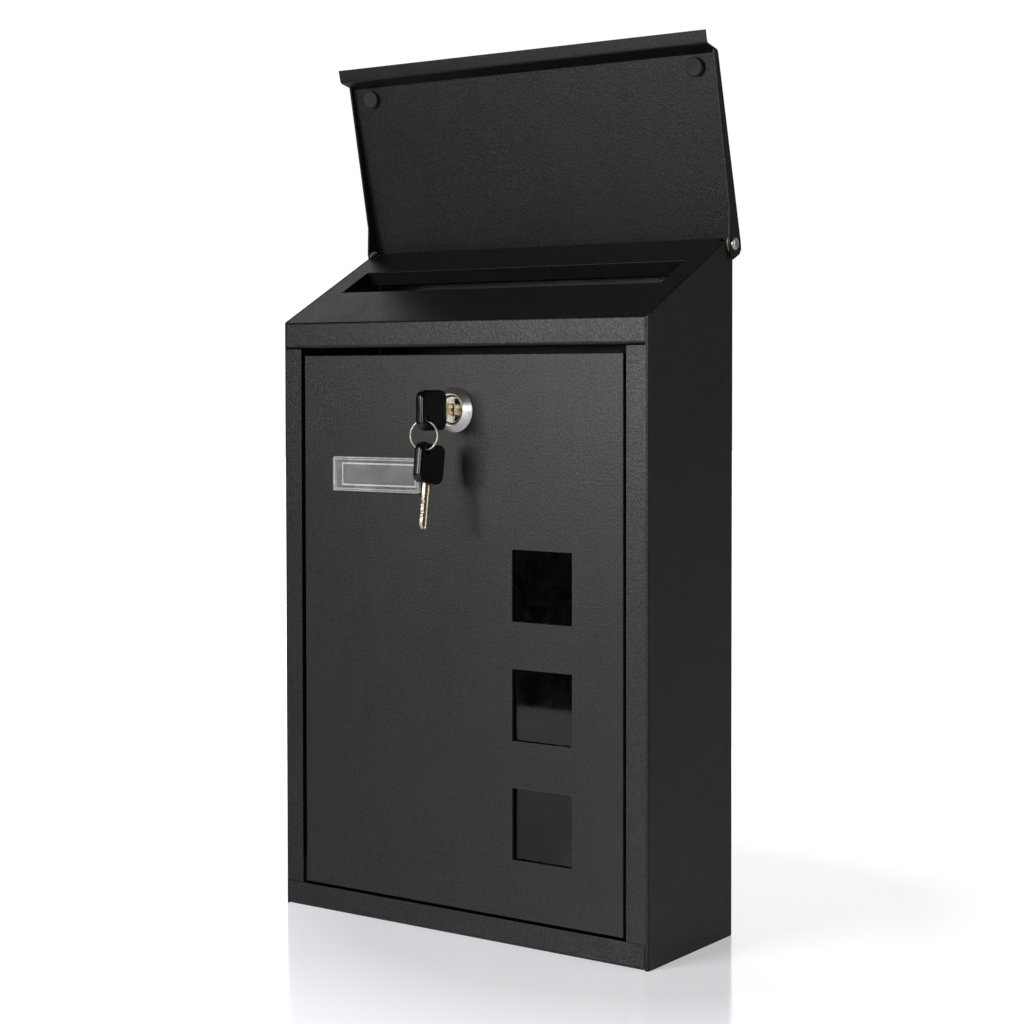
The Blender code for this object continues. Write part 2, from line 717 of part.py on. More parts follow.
def lock_body(material):
    """Barrel with its bevelled front ring."""
    bore = PLUG_RADIUS + GAP
    profile = [(BEZEL_CROWN, BEZEL_FRONT), (BEZEL_RADIUS, BEZEL_EDGE)]
    profile += [(BEZEL_RADIUS, GAP), (BARREL_RADIUS, GAP), (BARREL_RADIUS, -BARREL_LENGTH)]
    profile += [(bore, -BARREL_LENGTH), (bore, PLUG_FRONT - PLUG_CHAMFER)]
    profile += [(BEZEL_CROWN - BEZEL_CROWN_WIDTH, BEZEL_FRONT)]
    barrel = turned(profile, LOCK_AXIS, (0, -1, 0), 72, closed=True)
    return finish("lock_body", barrel, material)


def lock_washer(material):
    """Flat washer between the nut and the back of the door."""
    top = -DOOR_SHEET - GAP
    profile = ring_profile(BARREL_RADIUS + GAP, NUT_WASHER_RADIUS, top - NUT_WASHER, top)
    washer = turned(profile, LOCK_AXIS, (0, -1, 0), 48, closed=True)
    return finish("lock_washer", washer, material)


def lock_nut(material):
    """Hexagon nut that clamps the barrel to the door."""
    front = -DOOR_SHEET - 2 * GAP - NUT_WASHER
    toward_back = Vector((0, 1, 0))
    start = LOCK_AXIS - toward_back * front
    nut = cylinder(NUT_RADIUS, start, start + toward_back * NUT_HEIGHT, 6)
    bevel(nut, NUT_EDGE, 1)
    bore_start = start - toward_back * CUT_MARGIN
    bore_end = start + toward_back * (NUT_HEIGHT + CUT_MARGIN)
    cut(nut, cylinder(BARREL_RADIUS + GAP, bore_start, bore_end, 48))
    return finish("lock_nut", nut, material)


def lock_plug(material):
    """Turning plug with its keyway, and a square stud for the cam."""
    shoulder = -BARREL_LENGTH + GAP
    stud_end = -BARREL_LENGTH - CAM_THICKNESS
    profile = [(0.0, PLUG_FRONT), (PLUG_RADIUS - PLUG_CHAMFER, PLUG_FRONT)]
    profile += [(PLUG_RADIUS, PLUG_FRONT - PLUG_CHAMFER), (PLUG_RADIUS, shoulder), (0.0, shoulder)]
    plug = turned(profile, LOCK_AXIS, (0, -1, 0), 56)
    half = STUD_SIZE / 2
    stud_low = (-half, DOOR_FACE - shoulder - CUT_MARGIN / 2, LOCK_LEVEL - half)
    join(plug, box(stud_low, (half, DOOR_FACE - stud_end, LOCK_LEVEL + half)))
    way_x = KEY_BLADE_THICKNESS / 2 + GAP
    way_z = KEY_BLADE_WIDTH / 2 + GAP
    way_end = FRONT - KEY_SHOULDER_OFFSET + KEY_BLADE + 2 * GAP
    way_low = (-way_x, DOOR_FACE - PLUG_FRONT - CUT_MARGIN, LOCK_LEVEL - way_z)
    cut(plug, box(way_low, (way_x, way_end, LOCK_LEVEL + way_z)))
    tap_start = LOCK_AXIS + Vector((0, BARREL_LENGTH - THREAD_DEPTH - GAP, 0))
    tap_end = LOCK_AXIS + Vector((0, BARREL_LENGTH + 2 * CAM_THICKNESS, 0))
    cut(plug, cylinder(SCREW_RADIUS + GAP, tap_start, tap_end, HOLE_STEPS))
    return finish("lock_plug", plug, material)


def lock_cam(material):
    """Cranked arm that swings up behind the header to lock the door."""
    root = DOOR_FACE + BARREL_LENGTH + GAP + CAM_THICKNESS / 2
    tip = FRONT + STRIKE_LIP + CAM_CLEARANCE + CAM_THICKNESS / 2
    path = [(CAM_WIDTH / 2, root), (-CAM_CRANK[0], root), (-CAM_CRANK[1], tip), (-CAM_REACH, tip)]
    cam = flat_outline(folded_sheet(path, CAM_THICKNESS, CAM_BEND_RADIUS), CAM_WIDTH)
    cam.location.z = LOCK_LEVEL
    bevel(cam, CAM_EDGE, 1)
    half = STUD_SIZE / 2 + GAP
    low = (-half, root - CAM_THICKNESS, LOCK_LEVEL - half)
    cut(cam, box(low, (half, root + CAM_THICKNESS, LOCK_LEVEL + half)))
    return finish("lock_cam", cam, material)


def cam_washer(material):
    top = -BARREL_LENGTH - CAM_THICKNESS - 2 * GAP
    profile = ring_profile(SCREW_RADIUS + GAP, CAM_WASHER_RADIUS, top - CAM_WASHER, top)
    washer = turned(profile, LOCK_AXIS, (0, -1, 0), 40, closed=True)
    return finish("cam_washer", washer, material)


def cam_screw(material):
    """Cross-head screw that holds the cam on the plug's stud."""
    seat_level = -BARREL_LENGTH - CAM_THICKNESS - 3 * GAP - CAM_WASHER
    head_end = seat_level - SCREW_HEAD_HEIGHT
    head = SCREW_HEAD
    tip = -BARREL_LENGTH + THREAD_DEPTH
    profile = [(0.0, tip), (SCREW_RADIUS, tip)]
    profile += [(SCREW_RADIUS, seat_level), (head, seat_level), (head, head_end + SCREW_HEAD_RIM)]
    profile += [(head - SCREW_HEAD_RIM, head_end), (0.0, head_end)]
    screw = turned(profile, LOCK_AXIS, (0, -1, 0), 32)
    depth = DOOR_FACE - head_end
    for across in (SCREW_CROSS, SCREW_CROSS[::-1]):
        low = (-across[0], depth - SCREW_CROSS_DEPTH, LOCK_LEVEL - across[1])
        cut(screw, box(low, (across[0], depth + CUT_MARGIN, LOCK_LEVEL + across[1])))
    return finish("cam_screw", screw, material)


# Keys, modelled with the ring hole at the origin and the blade running up +Z


def key_blade(prefix, material):
    """Flat blade with small cuts on both edges, a groove each side and a hidden tang."""
    shoulder = KEY_HEAD - KEY_HOLE_END
    half = KEY_BLADE_WIDTH / 2
    tip = shoulder + KEY_BLADE
    notches = []
    for number, depth in enumerate(KEY_CUTS):
        level = shoulder + KEY_FIRST_CUT + number * KEY_CUT_PITCH
        notches += [(half, level - KEY_CUT_HALF), (half - depth, level - KEY_CUT_FLOOR)]
        notches += [(half - depth, level + KEY_CUT_FLOOR), (half, level + KEY_CUT_HALF)]
    right = [(half, shoulder - KEY_TANG), *notches, (half, tip - KEY_TIP[1]), (KEY_TIP[0], tip)]
    outline = right + [(-y, z) for y, z in reversed(right)]
    outline = [(y - KEY_HOLE_SIDE, z) for y, z in outline]
    blade = profile_along_x(outline, KEY_BLADE_THICKNESS / 2)
    groove, depth = KEY_GROOVE
    for side in (-1, 1):
        faces = sorted((side * (KEY_BLADE_THICKNESS / 2 - depth), side * KEY_BLADE_THICKNESS))
        low = (faces[0], -KEY_HOLE_SIDE - groove, shoulder + CUT_MARGIN / 2)
        cut(blade, box(low, (faces[1], -KEY_HOLE_SIDE + groove, tip + CUT_MARGIN)))
    return finish(f"{prefix}_blade", blade, material)


def key_head(prefix, material):
    """Square plastic head moulded over the tang, with the ring hole in one corner."""
    shoulder = KEY_HEAD - KEY_HOLE_END
    half = KEY_HEAD / 2
    low = (-KEY_HOLE_SIDE - half, -KEY_HOLE_END)
    outline = rounded_rectangle(low, (half - KEY_HOLE_SIDE, shoulder), KEY_HEAD_CORNER)
    head = profile_along_x(outline, KEY_HEAD_THICKNESS / 2)
    bevel(head, KEY_HEAD_EDGE)
    pocket_x = KEY_BLADE_THICKNESS / 2 + GAP
    pocket_y = KEY_BLADE_WIDTH / 2 + GAP
    pocket_low = (-pocket_x, -KEY_HOLE_SIDE - pocket_y, shoulder - KEY_TANG - GAP)
    pocket_high = (pocket_x, -KEY_HOLE_SIDE + pocket_y, shoulder + CUT_MARGIN)
    cut(head, box(pocket_low, pocket_high))
    reach = KEY_HEAD_THICKNESS
    cut(head, cylinder(KEY_HOLE_RADIUS, (-reach, 0, 0), (reach, 0, 0), 32))
    return finish(f"{prefix}_head", head, material)


def key_ring(material):
    """Round wire ring through the holes of both keys."""
    bpy.ops.mesh.primitive_torus_add(
        major_radius=RING_RADIUS, minor_radius=RING_WIRE, major_segments=64, minor_segments=12
    )
    ring = bpy.context.active_object
    ring.rotation_euler = (pi / 2, 0.0, RING_TURN)
    ring.location = RING_AXIS - Vector((0.0, 0.0, RING_RADIUS))
    return finish("key_ring", ring, material)


def build():
    coat = new_material("graphite_powder_coat", (0.052, 0.051, 0.054), 0.55, 0.0)
    chrome = new_material("polished_chrome", (0.72, 0.71, 0.68), 0.12, 1.0)
    zinc = new_material("zinc_plated_steel", (0.48, 0.47, 0.44), 0.35, 1.0)
    nickel = new_material("pale_nickel", (0.62, 0.57, 0.44), 0.25, 1.0)
    rubber = new_material("black_rubber", (0.012, 0.012, 0.012), 0.80, 0.0)
    plastic = new_material("black_plastic", (0.008, 0.008, 0.009), 0.18, 0.0)
    nylon = new_material("grey_nylon", (0.30, 0.29, 0.27), 0.50, 0.0)
    smoked = new_material("smoked_acrylic", (0.020, 0.021, 0.024), 0.06, 0.0, 0.6)
    clear = new_material("clear_acrylic", (0.55, 0.56, 0.57), 0.08, 0.0, 0.35)
    foam = new_material("foam_tape", (0.030, 0.030, 0.030), 0.90, 0.0)
    paper = new_material("card_paper", (0.40, 0.40, 0.40), 0.85, 0.0)

    wrap_shell(coat)
    top_panel(coat)
    bottom_panel(coat)
    pair(lambda side, name: hinge_bracket(side, name, coat))
    pair(lambda side, name: lid_rivet(side, name, zinc))
    pair(lambda side, name: lid_washer(side, name, nylon))

    lid_hinge = pivot("lid_hinge", LID_AXIS, rotation=-LID_TILT)
    lid_pieces = [lid_panel(coat), *pair(lambda side, name: lid_bumper(side, name, rubber))]
    seat(lid_hinge, *lid_pieces)

    door_hinge = pivot("door_hinge", DOOR_AXIS)
    door_pieces = [door_panel(coat), window_pane(smoked), nameplate_holder(clear)]
    door_pieces += pair(lambda side, name: door_pin(side, name, zinc))
    door_pieces += pair(lambda side, name: pane_tape(side, name, foam))
    door_pieces += [plate_tape(foam), name_card(paper)]
    door_pieces += [lock_body(chrome), lock_washer(zinc), lock_nut(zinc)]
    carry(door_hinge, *door_pieces)

    plug_axis = pivot("plug_axis", LOCK_AXIS, door_hinge)
    plug_pieces = [lock_plug(chrome), lock_cam(zinc), cam_washer(zinc), cam_screw(zinc)]
    carry(plug_axis, *plug_pieces)

    key_slide = pivot("key_slide", KEY_HOLE, plug_axis, -pi / 2)
    seat(key_slide, key_blade("key", nickel), key_head("key", plastic))
    ring_swing = pivot("ring_swing", RING_AXIS, key_slide)
    carry(ring_swing, key_ring(nickel))
    spare_swing = pivot("spare_swing", SPARE_AXIS, ring_swing, pi - SPARE_TILT)
    seat(spare_swing, key_blade("spare_key", nickel), key_head("spare_key", plastic))


def shade_round_pieces():
    """Round faces shade smoothly and the real edges stay sharp."""
    for thing in PARTS.objects:
        if thing.type == "MESH":
            thing.data.shade_smooth()
            thing.data.set_sharp_from_angle(angle=radians(30))
            for modifier in thing.modifiers:
                modifier.show_render = modifier.show_viewport


clear_scene()
PARTS = new_collection("parcel_drop_box")
CUTTERS = new_collection("cutters")
build()
shade_round_pieces()
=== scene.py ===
"""Looks for a lockable letter box of powder-coated sheet steel, built around its CAD frame.

Everything is in metres in the frame's own axes: the front faces -Y and Z is up.
"""

import json
from math import atan2, cos, pi, radians, sin, tan

import bmesh
import bpy
from mathutils import Matrix, Vector

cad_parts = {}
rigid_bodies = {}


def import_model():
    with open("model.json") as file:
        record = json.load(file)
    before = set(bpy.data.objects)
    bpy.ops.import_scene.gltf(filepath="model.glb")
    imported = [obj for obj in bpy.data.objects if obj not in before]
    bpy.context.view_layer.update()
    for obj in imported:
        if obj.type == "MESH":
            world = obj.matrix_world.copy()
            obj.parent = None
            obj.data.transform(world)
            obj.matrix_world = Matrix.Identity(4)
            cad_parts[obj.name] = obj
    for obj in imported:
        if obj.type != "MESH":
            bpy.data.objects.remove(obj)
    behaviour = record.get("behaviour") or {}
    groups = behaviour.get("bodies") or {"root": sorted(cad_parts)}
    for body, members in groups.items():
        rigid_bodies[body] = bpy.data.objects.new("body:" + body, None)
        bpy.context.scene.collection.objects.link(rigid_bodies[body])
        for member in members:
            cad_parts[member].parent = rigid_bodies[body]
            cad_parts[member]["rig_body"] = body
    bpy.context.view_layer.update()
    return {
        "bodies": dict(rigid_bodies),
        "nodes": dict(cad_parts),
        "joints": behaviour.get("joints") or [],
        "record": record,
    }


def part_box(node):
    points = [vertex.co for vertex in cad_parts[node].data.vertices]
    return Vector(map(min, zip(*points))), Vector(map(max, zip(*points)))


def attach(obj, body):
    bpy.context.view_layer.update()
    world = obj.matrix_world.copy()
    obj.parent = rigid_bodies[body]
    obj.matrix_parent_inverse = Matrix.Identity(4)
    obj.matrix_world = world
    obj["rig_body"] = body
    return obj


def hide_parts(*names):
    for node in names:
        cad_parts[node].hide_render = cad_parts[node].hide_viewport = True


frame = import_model()
NODES = frame["nodes"]
JOINTS = {joint["name"]: joint for joint in frame["joints"]}
MM = 0.001
WHITE = (1.0, 1.0, 1.0)

# Finishes
COAT_ROUGHNESS = (0.395, 0.435)
COAT_SPECULAR = (0.36, 0.60)
ACRYLIC_IOR = 1.49

# Mesh clean-up
WELD = 0.002 * MM
FLAT_ANGLE = radians(0.6)
ON_AXIS = 1e-7

# Rivets and buttons on the lid
RIVET_HEAD = 1.4 * MM
RIVET_RIM = 0.25 * MM
RIVET_STEM = 1.8 * MM
DOME_STEPS = 8
BUTTON_TAPER = 0.5 * MM

# Lock
BORE_GAP = 0.3 * MM
CROWN_WIDTH = 1.2 * MM
BARREL = 9.4 * MM
THREADS = 21

# Name plate; each border line painted as highlight has an inset and half a width
PLATE_BORDERS = ((0.25 * MM, 0.45 * MM), (1.45 * MM, 0.32 * MM))
FRAME_MARGIN = 0.6 * MM
FRAME_FROM_END = 1.9 * MM

# Keys and their ring
GRIP_SIZE = 23 * MM
GRIP_END = 4.8 * MM
GRIP_HALF = 2.85 * MM
GRIP_ROLL = 1.9 * MM
GRIP_CORNER = 4.8 * MM
GRIP_STEPS = 6
BLADE_OFFSET = 5.5 * MM
RING_HOLE = 2.25 * MM
HOLE_ABOVE_RING = 0.3 * MM
SOCKET_HALF = 1.3 * MM
SOCKET_REACH = 3.3 * MM
SOCKET_DEPTH = 14.3 * MM
SPARE_TILT = radians(8.0)
WIRE = 0.40 * MM
RING_INSET = 0.75 * MM
RING_TURN = radians(15.0)
COIL_STEPS = 160
COIL_START = radians(100.0)
COIL_SWEEP = radians(716.0)
COIL_SPREAD = 0.74 * MM

# Stage: the floor's near, far and side edges, and strengths of glow
FLOOR_EDGES = (-0.74, 7.0, 5.0)
FLOOR_CENTRE = (0.06, 0.06, 0.0)
FLOOR_GLOW = 0.16
FLOOR_FADE = (0.25, 0.95)
FLOOR_IOR = 1.6
BACK_GLOW = 0.68
DIM_GLOW = 0.005
WARM_GLOW = 0.15
CARD_GLOW = 0.8
CAMERA_WHITE = 1.02


# Node graphs


def finish_for(name):
    """A new material, its node tree and its Principled shader."""
    material = bpy.data.materials.new(name)
    material.use_nodes = True
    tree = material.node_tree
    return material, tree, tree.nodes["Principled BSDF"]


def add(tree, kind, inputs=None, **settings):
    """One shader node; an input is a value, a colour or another node's output."""
    node = tree.nodes.new(kind)
    for name, value in settings.items():
        setattr(node, name, value)
    for name, value in (inputs or {}).items():
        plug(tree, node, name, value)
    return node


def plug(tree, node, name, value):
    """Sets one input of a node, or links it to another node's output."""
    if isinstance(value, bpy.types.NodeSocket):
        tree.links.new(value, node.inputs[name])
    else:
        node.inputs[name].default_value = value


def shade(tree, shader, **inputs):
    for name, value in inputs.items():
        plug(tree, shader, name.replace("_", " "), value)


def object_space(tree):
    return add(tree, "ShaderNodeTexCoord").outputs["Object"]


def stretched(tree, scale, turn=(0.0, 0.0, 0.0)):
    """Object coordinates scaled a different amount along each axis."""
    mapping = add(tree, "ShaderNodeMapping", {"Vector": object_space(tree), "Scale": scale, "Rotation": turn})
    return mapping.outputs["Vector"]


def noise(tree, vector, feature, detail=2.0, rough=0.5, distortion=0.0):
    """Noise whose lumps are about as long as the feature size."""
    inputs = {"Vector": vector, "Scale": 1.0 / feature, "Detail": detail, "Roughness": rough,
              "Distortion": distortion}
    return add(tree, "ShaderNodeTexNoise", inputs).outputs["Fac"]


def cells(tree, vector, feature):
    """Distance to the nearest of many scattered points."""
    inputs = {"Vector": vector, "Scale": 1.0 / feature}
    return add(tree, "ShaderNodeTexVoronoi", inputs).outputs["Distance"]


def ranged(tree, value, low, high, start=0.3, end=0.7):
    """A value taken from one range into another and held inside it."""
    inputs = {"Value": value, "From Min": start, "From Max": end, "To Min": low, "To Max": high}
    return add(tree, "ShaderNodeMapRange", inputs).outputs["Result"]


def calc(tree, operation, first, second=0.0):
    """One sum on two values; each is a number or a node's output."""
    node = add(tree, "ShaderNodeMath", operation=operation)
    plug(tree, node, 0, first)
    plug(tree, node, 1, second)
    return node.outputs[0]


def product(tree, first, *others):
    for other in others:
        first = calc(tree, "MULTIPLY", first, other)
    return first


def total(tree, first, *others):
    for other in others:
        first = calc(tree, "ADD", first, other)
    return first


def blended(tree, factor, first, second):
    """Two colours mixed by a factor."""
    node = add(tree, "ShaderNodeMix", data_type="RGBA")
    plug(tree, node, 0, factor)
    plug(tree, node, 6, first if isinstance(first, bpy.types.NodeSocket) else (*first, 1.0))
    plug(tree, node, 7, second if isinstance(second, bpy.types.NodeSocket) else (*second, 1.0))
    return node.outputs[2]


def bump(tree, height, depth, strength=1.0):
    inputs = {"Height": height, "Distance": depth, "Strength": strength}
    return add(tree, "ShaderNodeBump", inputs).outputs["Normal"]


def edge_mask(tree, radius):
    """One along convex edges and nought on flat faces."""
    rounded = add(tree, "ShaderNodeBevel", {"Radius": radius}, samples=4).outputs["Normal"]
    flat = add(tree, "ShaderNodeNewGeometry").outputs["Normal"]
    across = add(tree, "ShaderNodeVectorMath", {0: rounded, 1: flat}, operation="DOT_PRODUCT")
    spread = calc(tree, "SUBTRACT", 1.0, across.outputs["Value"])
    return ranged(tree, spread, 0.0, 1.0, start=0.02, end=0.30)


def times(colour, factor):
    """A colour made lighter or darker, held at white."""
    return tuple(min(1.0, factor * value) for value in colour)


# Finishes


def powder_coat(name, dark, light, shine):
    """Fine-textured graphite coat: grain with painted shade in its hollows, faint mottling, handling marks
    and rubbed edges.
    """
    material, tree, shader = finish_for(name)
    place = object_space(tree)
    fine = noise(tree, place, 0.42 * MM, detail=3.0, rough=0.6)
    coarse = noise(tree, place, 1.3 * MM, detail=2.0, rough=0.5)
    speck = cells(tree, place, 0.75 * MM)
    mottle = noise(tree, place, 38 * MM, detail=3.0, rough=0.5, distortion=0.4)
    smeared = stretched(tree, (1.0, 1.0, 0.35))
    handling = noise(tree, smeared, 22 * MM, detail=4.0, rough=0.6, distortion=0.8)
    tint = blended(tree, ranged(tree, mottle, 0.0, 1.0, start=0.25, end=0.75), dark, light)
    fleck = ranged(tree, speck, 0.30, 0.0, start=0.02, end=0.30)
    tint = blended(tree, fleck, tint, times(light, 2.1))
    # Painted shade: the coat turns darker where the fine grain dips.
    pit = ranged(tree, fine, 0.45, 0.0, start=0.30, end=0.48)
    tint = blended(tree, pit, tint, times(dark, 0.35))
    rubbed = product(tree, edge_mask(tree, 0.5 * MM), ranged(tree, coarse, 0.10, 0.42))
    tint = blended(tree, rubbed, tint, times(light, 3.0))
    surface = ranged(tree, handling, *COAT_ROUGHNESS, start=0.35, end=0.65)
    surface = total(tree, surface, ranged(tree, coarse, -0.05, 0.05))
    surface = calc(tree, "SUBTRACT", surface, product(tree, rubbed, 0.25))
    height = total(tree, product(tree, fine, 0.6), product(tree, coarse, 1.1))
    grain = bump(tree, height, 0.14 * MM, strength=0.7)
    patches = noise(tree, place, 0.95 * MM, detail=1.0, rough=0.5)
    sheen = ranged(tree, patches, *COAT_SPECULAR, start=0.25, end=0.75)
    sheen = product(tree, total(tree, sheen, product(tree, fleck, 0.25)), shine)
    shade(tree, shader, Base_Color=tint, Roughness=surface, Normal=grain, Specular_IOR_Level=sheen)
    return material


def turned_metal(name, dark, light, rough, line, middle):
    """Plated metal with fine lathe rings about an axis along Y, and soft cloudy tarnish."""
    material, tree, shader = finish_for(name)
    place = object_space(tree)
    shifted = add(tree, "ShaderNodeVectorMath", {0: place, 1: middle}, operation="SUBTRACT")
    parts = add(tree, "ShaderNodeSeparateXYZ", {"Vector": shifted.outputs[0]}).outputs
    squares = [calc(tree, "MULTIPLY", value, value) for value in (parts["X"], parts["Z"])]
    reach = calc(tree, "SQRT", total(tree, *squares))
    wobble = noise(tree, place, 3 * MM, detail=2.0)
    reach = total(tree, reach, product(tree, wobble, 0.04 * MM))
    rings = add(tree, "ShaderNodeTexNoise", {"W": calc(tree, "DIVIDE", reach, line)},
                noise_dimensions="1D").outputs["Fac"]
    cloud = noise(tree, place, 4 * MM, detail=3.0, rough=0.6, distortion=0.5)
    tint = blended(tree, ranged(tree, cloud, 0.0, 1.0), dark, light)
    tint = blended(tree, product(tree, edge_mask(tree, 0.3 * MM), 0.5), tint, light)
    surface = total(tree, ranged(tree, rings, *rough), ranged(tree, cloud, -0.03, 0.04))
    shade(tree, shader, Base_Color=tint, Metallic=1.0, Roughness=surface,
          Normal=bump(tree, rings, 0.02 * MM, strength=0.25))
    return material


def plated_metal(name, dark, light, rough, stretch=(1.0, 1.0, 1.0), grain=0.35 * MM, strength=0.25):
    """Plated metal with a brushed or spangled grain, scuffs and brighter worn edges."""
    material, tree, shader = finish_for(name)
    place = object_space(tree)
    brushed = noise(tree, stretched(tree, stretch), grain, detail=4.0, rough=0.65)
    cloud = noise(tree, place, 5 * MM, detail=3.0, rough=0.6, distortion=0.5)
    spangle = cells(tree, place, 1.6 * MM)
    streaks = stretched(tree, (1.0, 0.15, 1.0), turn=(0.4, 0.9, 0.2))
    scuff = noise(tree, streaks, 1.1 * MM, detail=5.0, rough=0.7)
    tint = blended(tree, ranged(tree, cloud, 0.0, 1.0), dark, light)
    tint = blended(tree, ranged(tree, spangle, 0.25, 0.0, start=0.0, end=0.6), tint, light)
    tint = blended(tree, product(tree, edge_mask(tree, 0.3 * MM), 0.6), tint, light)
    surface = total(tree, ranged(tree, brushed, *rough),
                    ranged(tree, scuff, 0.0, 0.14, start=0.55, end=0.70))
    shade(tree, shader, Base_Color=tint, Metallic=1.0, Roughness=surface,
          Normal=bump(tree, brushed, 0.02 * MM, strength=strength))
    return material


def moulded(name, dark, light, rough, grain, depth):
    """Moulded plastic or rubber with a fine texture, smudges and worn edges."""
    material, tree, shader = finish_for(name)
    place = object_space(tree)
    texture = noise(tree, place, grain, detail=3.0, rough=0.55)
    smudge = noise(tree, place, 6 * MM, detail=4.0, rough=0.6, distortion=0.7)
    streaks = stretched(tree, (0.12, 1.0, 1.0), turn=(0.7, 0.3, 1.1))
    hair = noise(tree, streaks, 0.8 * MM, detail=4.0, rough=0.7)
    tint = blended(tree, ranged(tree, smudge, 0.0, 1.0), dark, light)
    worn = product(tree, edge_mask(tree, 0.4 * MM), ranged(tree, texture, 0.2, 0.7))
    tint = blended(tree, worn, tint, times(light, 2.2))
    surface = total(tree, ranged(tree, smudge, *rough),
                    ranged(tree, hair, 0.0, 0.10, start=0.58, end=0.72))
    shade(tree, shader, Base_Color=tint, Roughness=surface,
          Normal=bump(tree, texture, depth, strength=0.5))
    return material


def painted_highlight_lines(tree, place, highlight_rims):
    """Painted highlight: one on thin rectangles that face the front, where the plate's edges are drawn white
    as if catching light.

    Each rim is a low corner and a high corner in x and z, and half the line's width.
    """
    axes = add(tree, "ShaderNodeSeparateXYZ", {0: place}).outputs
    lines = 0.0
    for low, high, half in highlight_rims:
        spans = []
        for axis, start, end in (("X", low[0], high[0]), ("Z", low[1], high[1])):
            offset = calc(tree, "ABSOLUTE", calc(tree, "SUBTRACT", axes[axis], (start + end) / 2))
            spans.append(calc(tree, "SUBTRACT", offset, (end - start) / 2))
        away = calc(tree, "ABSOLUTE", calc(tree, "MAXIMUM", *spans))
        line = ranged(tree, away, 1.0, 0.0, start=half / 2, end=half)
        lines = calc(tree, "MAXIMUM", lines, line)
    return lines


def clear_plastic(name, tint, haze, rough, see_through, highlight_rims=()):
    """Acrylic: glossy, slightly hazed, with hairline scratches, finger smudges, and rims painted white and
    less clear as highlight.
    """
    material, tree, shader = finish_for(name)
    place = object_space(tree)
    smudge = noise(tree, place, 14 * MM, detail=4.0, rough=0.6, distortion=1.2)
    streaks = stretched(tree, (1.0, 1.0, 0.06), turn=(0.0, 0.5, 0.0))
    hair = noise(tree, streaks, 0.35 * MM, detail=5.0, rough=0.75)
    colour = blended(tree, ranged(tree, smudge, 0.0, 1.0), tint, haze)
    surface = total(tree, ranged(tree, smudge, *rough),
                    ranged(tree, hair, 0.0, 0.12, start=0.60, end=0.72))
    through = ranged(tree, smudge, see_through[1], see_through[0])
    if highlight_rims:
        # Painted highlight: along the rim lines the acrylic turns white and less clear, as if its edges
        # caught the light.
        painted_highlight = product(tree, painted_highlight_lines(tree, place, highlight_rims), ranged(tree, smudge, 0.40, 0.60))
        colour = blended(tree, painted_highlight, colour, WHITE)
        through = product(tree, through, calc(tree, "SUBTRACT", 1.0, painted_highlight))
    shade(tree, shader, Base_Color=colour, Roughness=surface, IOR=ACRYLIC_IOR,
          Transmission_Weight=through, Normal=bump(tree, hair, 0.005 * MM, strength=0.15))
    return material


def foam(name):
    """Dark foam with small open bubbles, painted darker in their hollows as shade."""
    material, tree, shader = finish_for(name)
    bubble = cells(tree, object_space(tree), 0.55 * MM)
    # Painted shade: each bubble turns darker towards its hollow middle.
    bubble_shade = ranged(tree, bubble, 0.0, 1.0, start=0.1, end=0.6)
    tint = blended(tree, bubble_shade, (0.016, 0.016, 0.017), (0.05, 0.05, 0.05))
    shade(tree, shader, Base_Color=tint, Roughness=ranged(tree, bubble, 0.85, 0.98),
          Normal=bump(tree, bubble, 0.3 * MM, strength=0.8))
    return material


def paper(name):
    """Grey card with fibres and a little mottle."""
    material, tree, shader = finish_for(name)
    drawn_out = stretched(tree, (0.3, 1.0, 1.0))
    fibre = noise(tree, drawn_out, 0.25 * MM, detail=5.0, rough=0.7, distortion=0.6)
    mottle = noise(tree, object_space(tree), 3 * MM, detail=3.0, rough=0.5)
    tint = blended(tree, ranged(tree, mottle, 0.0, 1.0), (0.050, 0.050, 0.050), (0.064, 0.064, 0.063))
    streak = ranged(tree, fibre, 0.0, 0.5, start=0.5, end=0.75)
    tint = blended(tree, streak, tint, (0.090, 0.090, 0.089))
    shade(tree, shader, Base_Color=tint, Roughness=ranged(tree, fibre, 0.78, 0.95),
          Normal=bump(tree, fibre, 0.03 * MM, strength=0.6))
    return material


# Mesh helpers


def new_piece(name, mesh):
    piece = bpy.data.objects.new(name, mesh)
    bpy.context.scene.collection.objects.link(piece)
    return piece


def mesh_from(name, work):
    """A mesh from a bmesh, with its normals outward."""
    bmesh.ops.recalc_face_normals(work, faces=work.faces)
    mesh = bpy.data.meshes.new(name)
    work.to_mesh(mesh)
    work.free()
    return mesh


def dress(piece, material, node, smooth=40.0):
    """Material, shading and body for a piece that stands for a CAD node, whose part is hidden."""
    piece.data.materials.clear()
    piece.data.materials.append(material)
    piece.data.shade_smooth()
    piece.data.set_sharp_from_angle(angle=radians(smooth))
    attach(piece, NODES[node]["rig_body"])
    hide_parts(node)


def edge_round(piece, width, segments, angle):
    """Rounds the edges sharper than an angle and evens the shading beside them."""
    rounding = piece.modifiers.new("edge_round", "BEVEL")
    rounding.width = width
    rounding.segments = segments
    rounding.limit_method = "ANGLE"
    rounding.angle_limit = radians(angle)
    rounding.harden_normals = False
    even = piece.modifiers.new("even_normals", "WEIGHTED_NORMAL")
    even.keep_sharp = False
    even.weight = 100


def refined(node, name, material, width, segments=3, angle=50.0):
    """The CAD node's shape with its flat faces merged and its edges rounded."""
    work = bmesh.new()
    work.from_mesh(NODES[node].data)
    bmesh.ops.remove_doubles(work, verts=work.verts, dist=WELD)
    bmesh.ops.dissolve_limit(work, angle_limit=FLAT_ANGLE, verts=work.verts, edges=work.edges)
    piece = new_piece(name, mesh_from(name, work))
    for layer in list(piece.data.attributes):
        if layer.name == "custom_normal":
            piece.data.attributes.remove(layer)
    dress(piece, material, node, smooth=180.0)
    edge_round(piece, width, segments, angle)


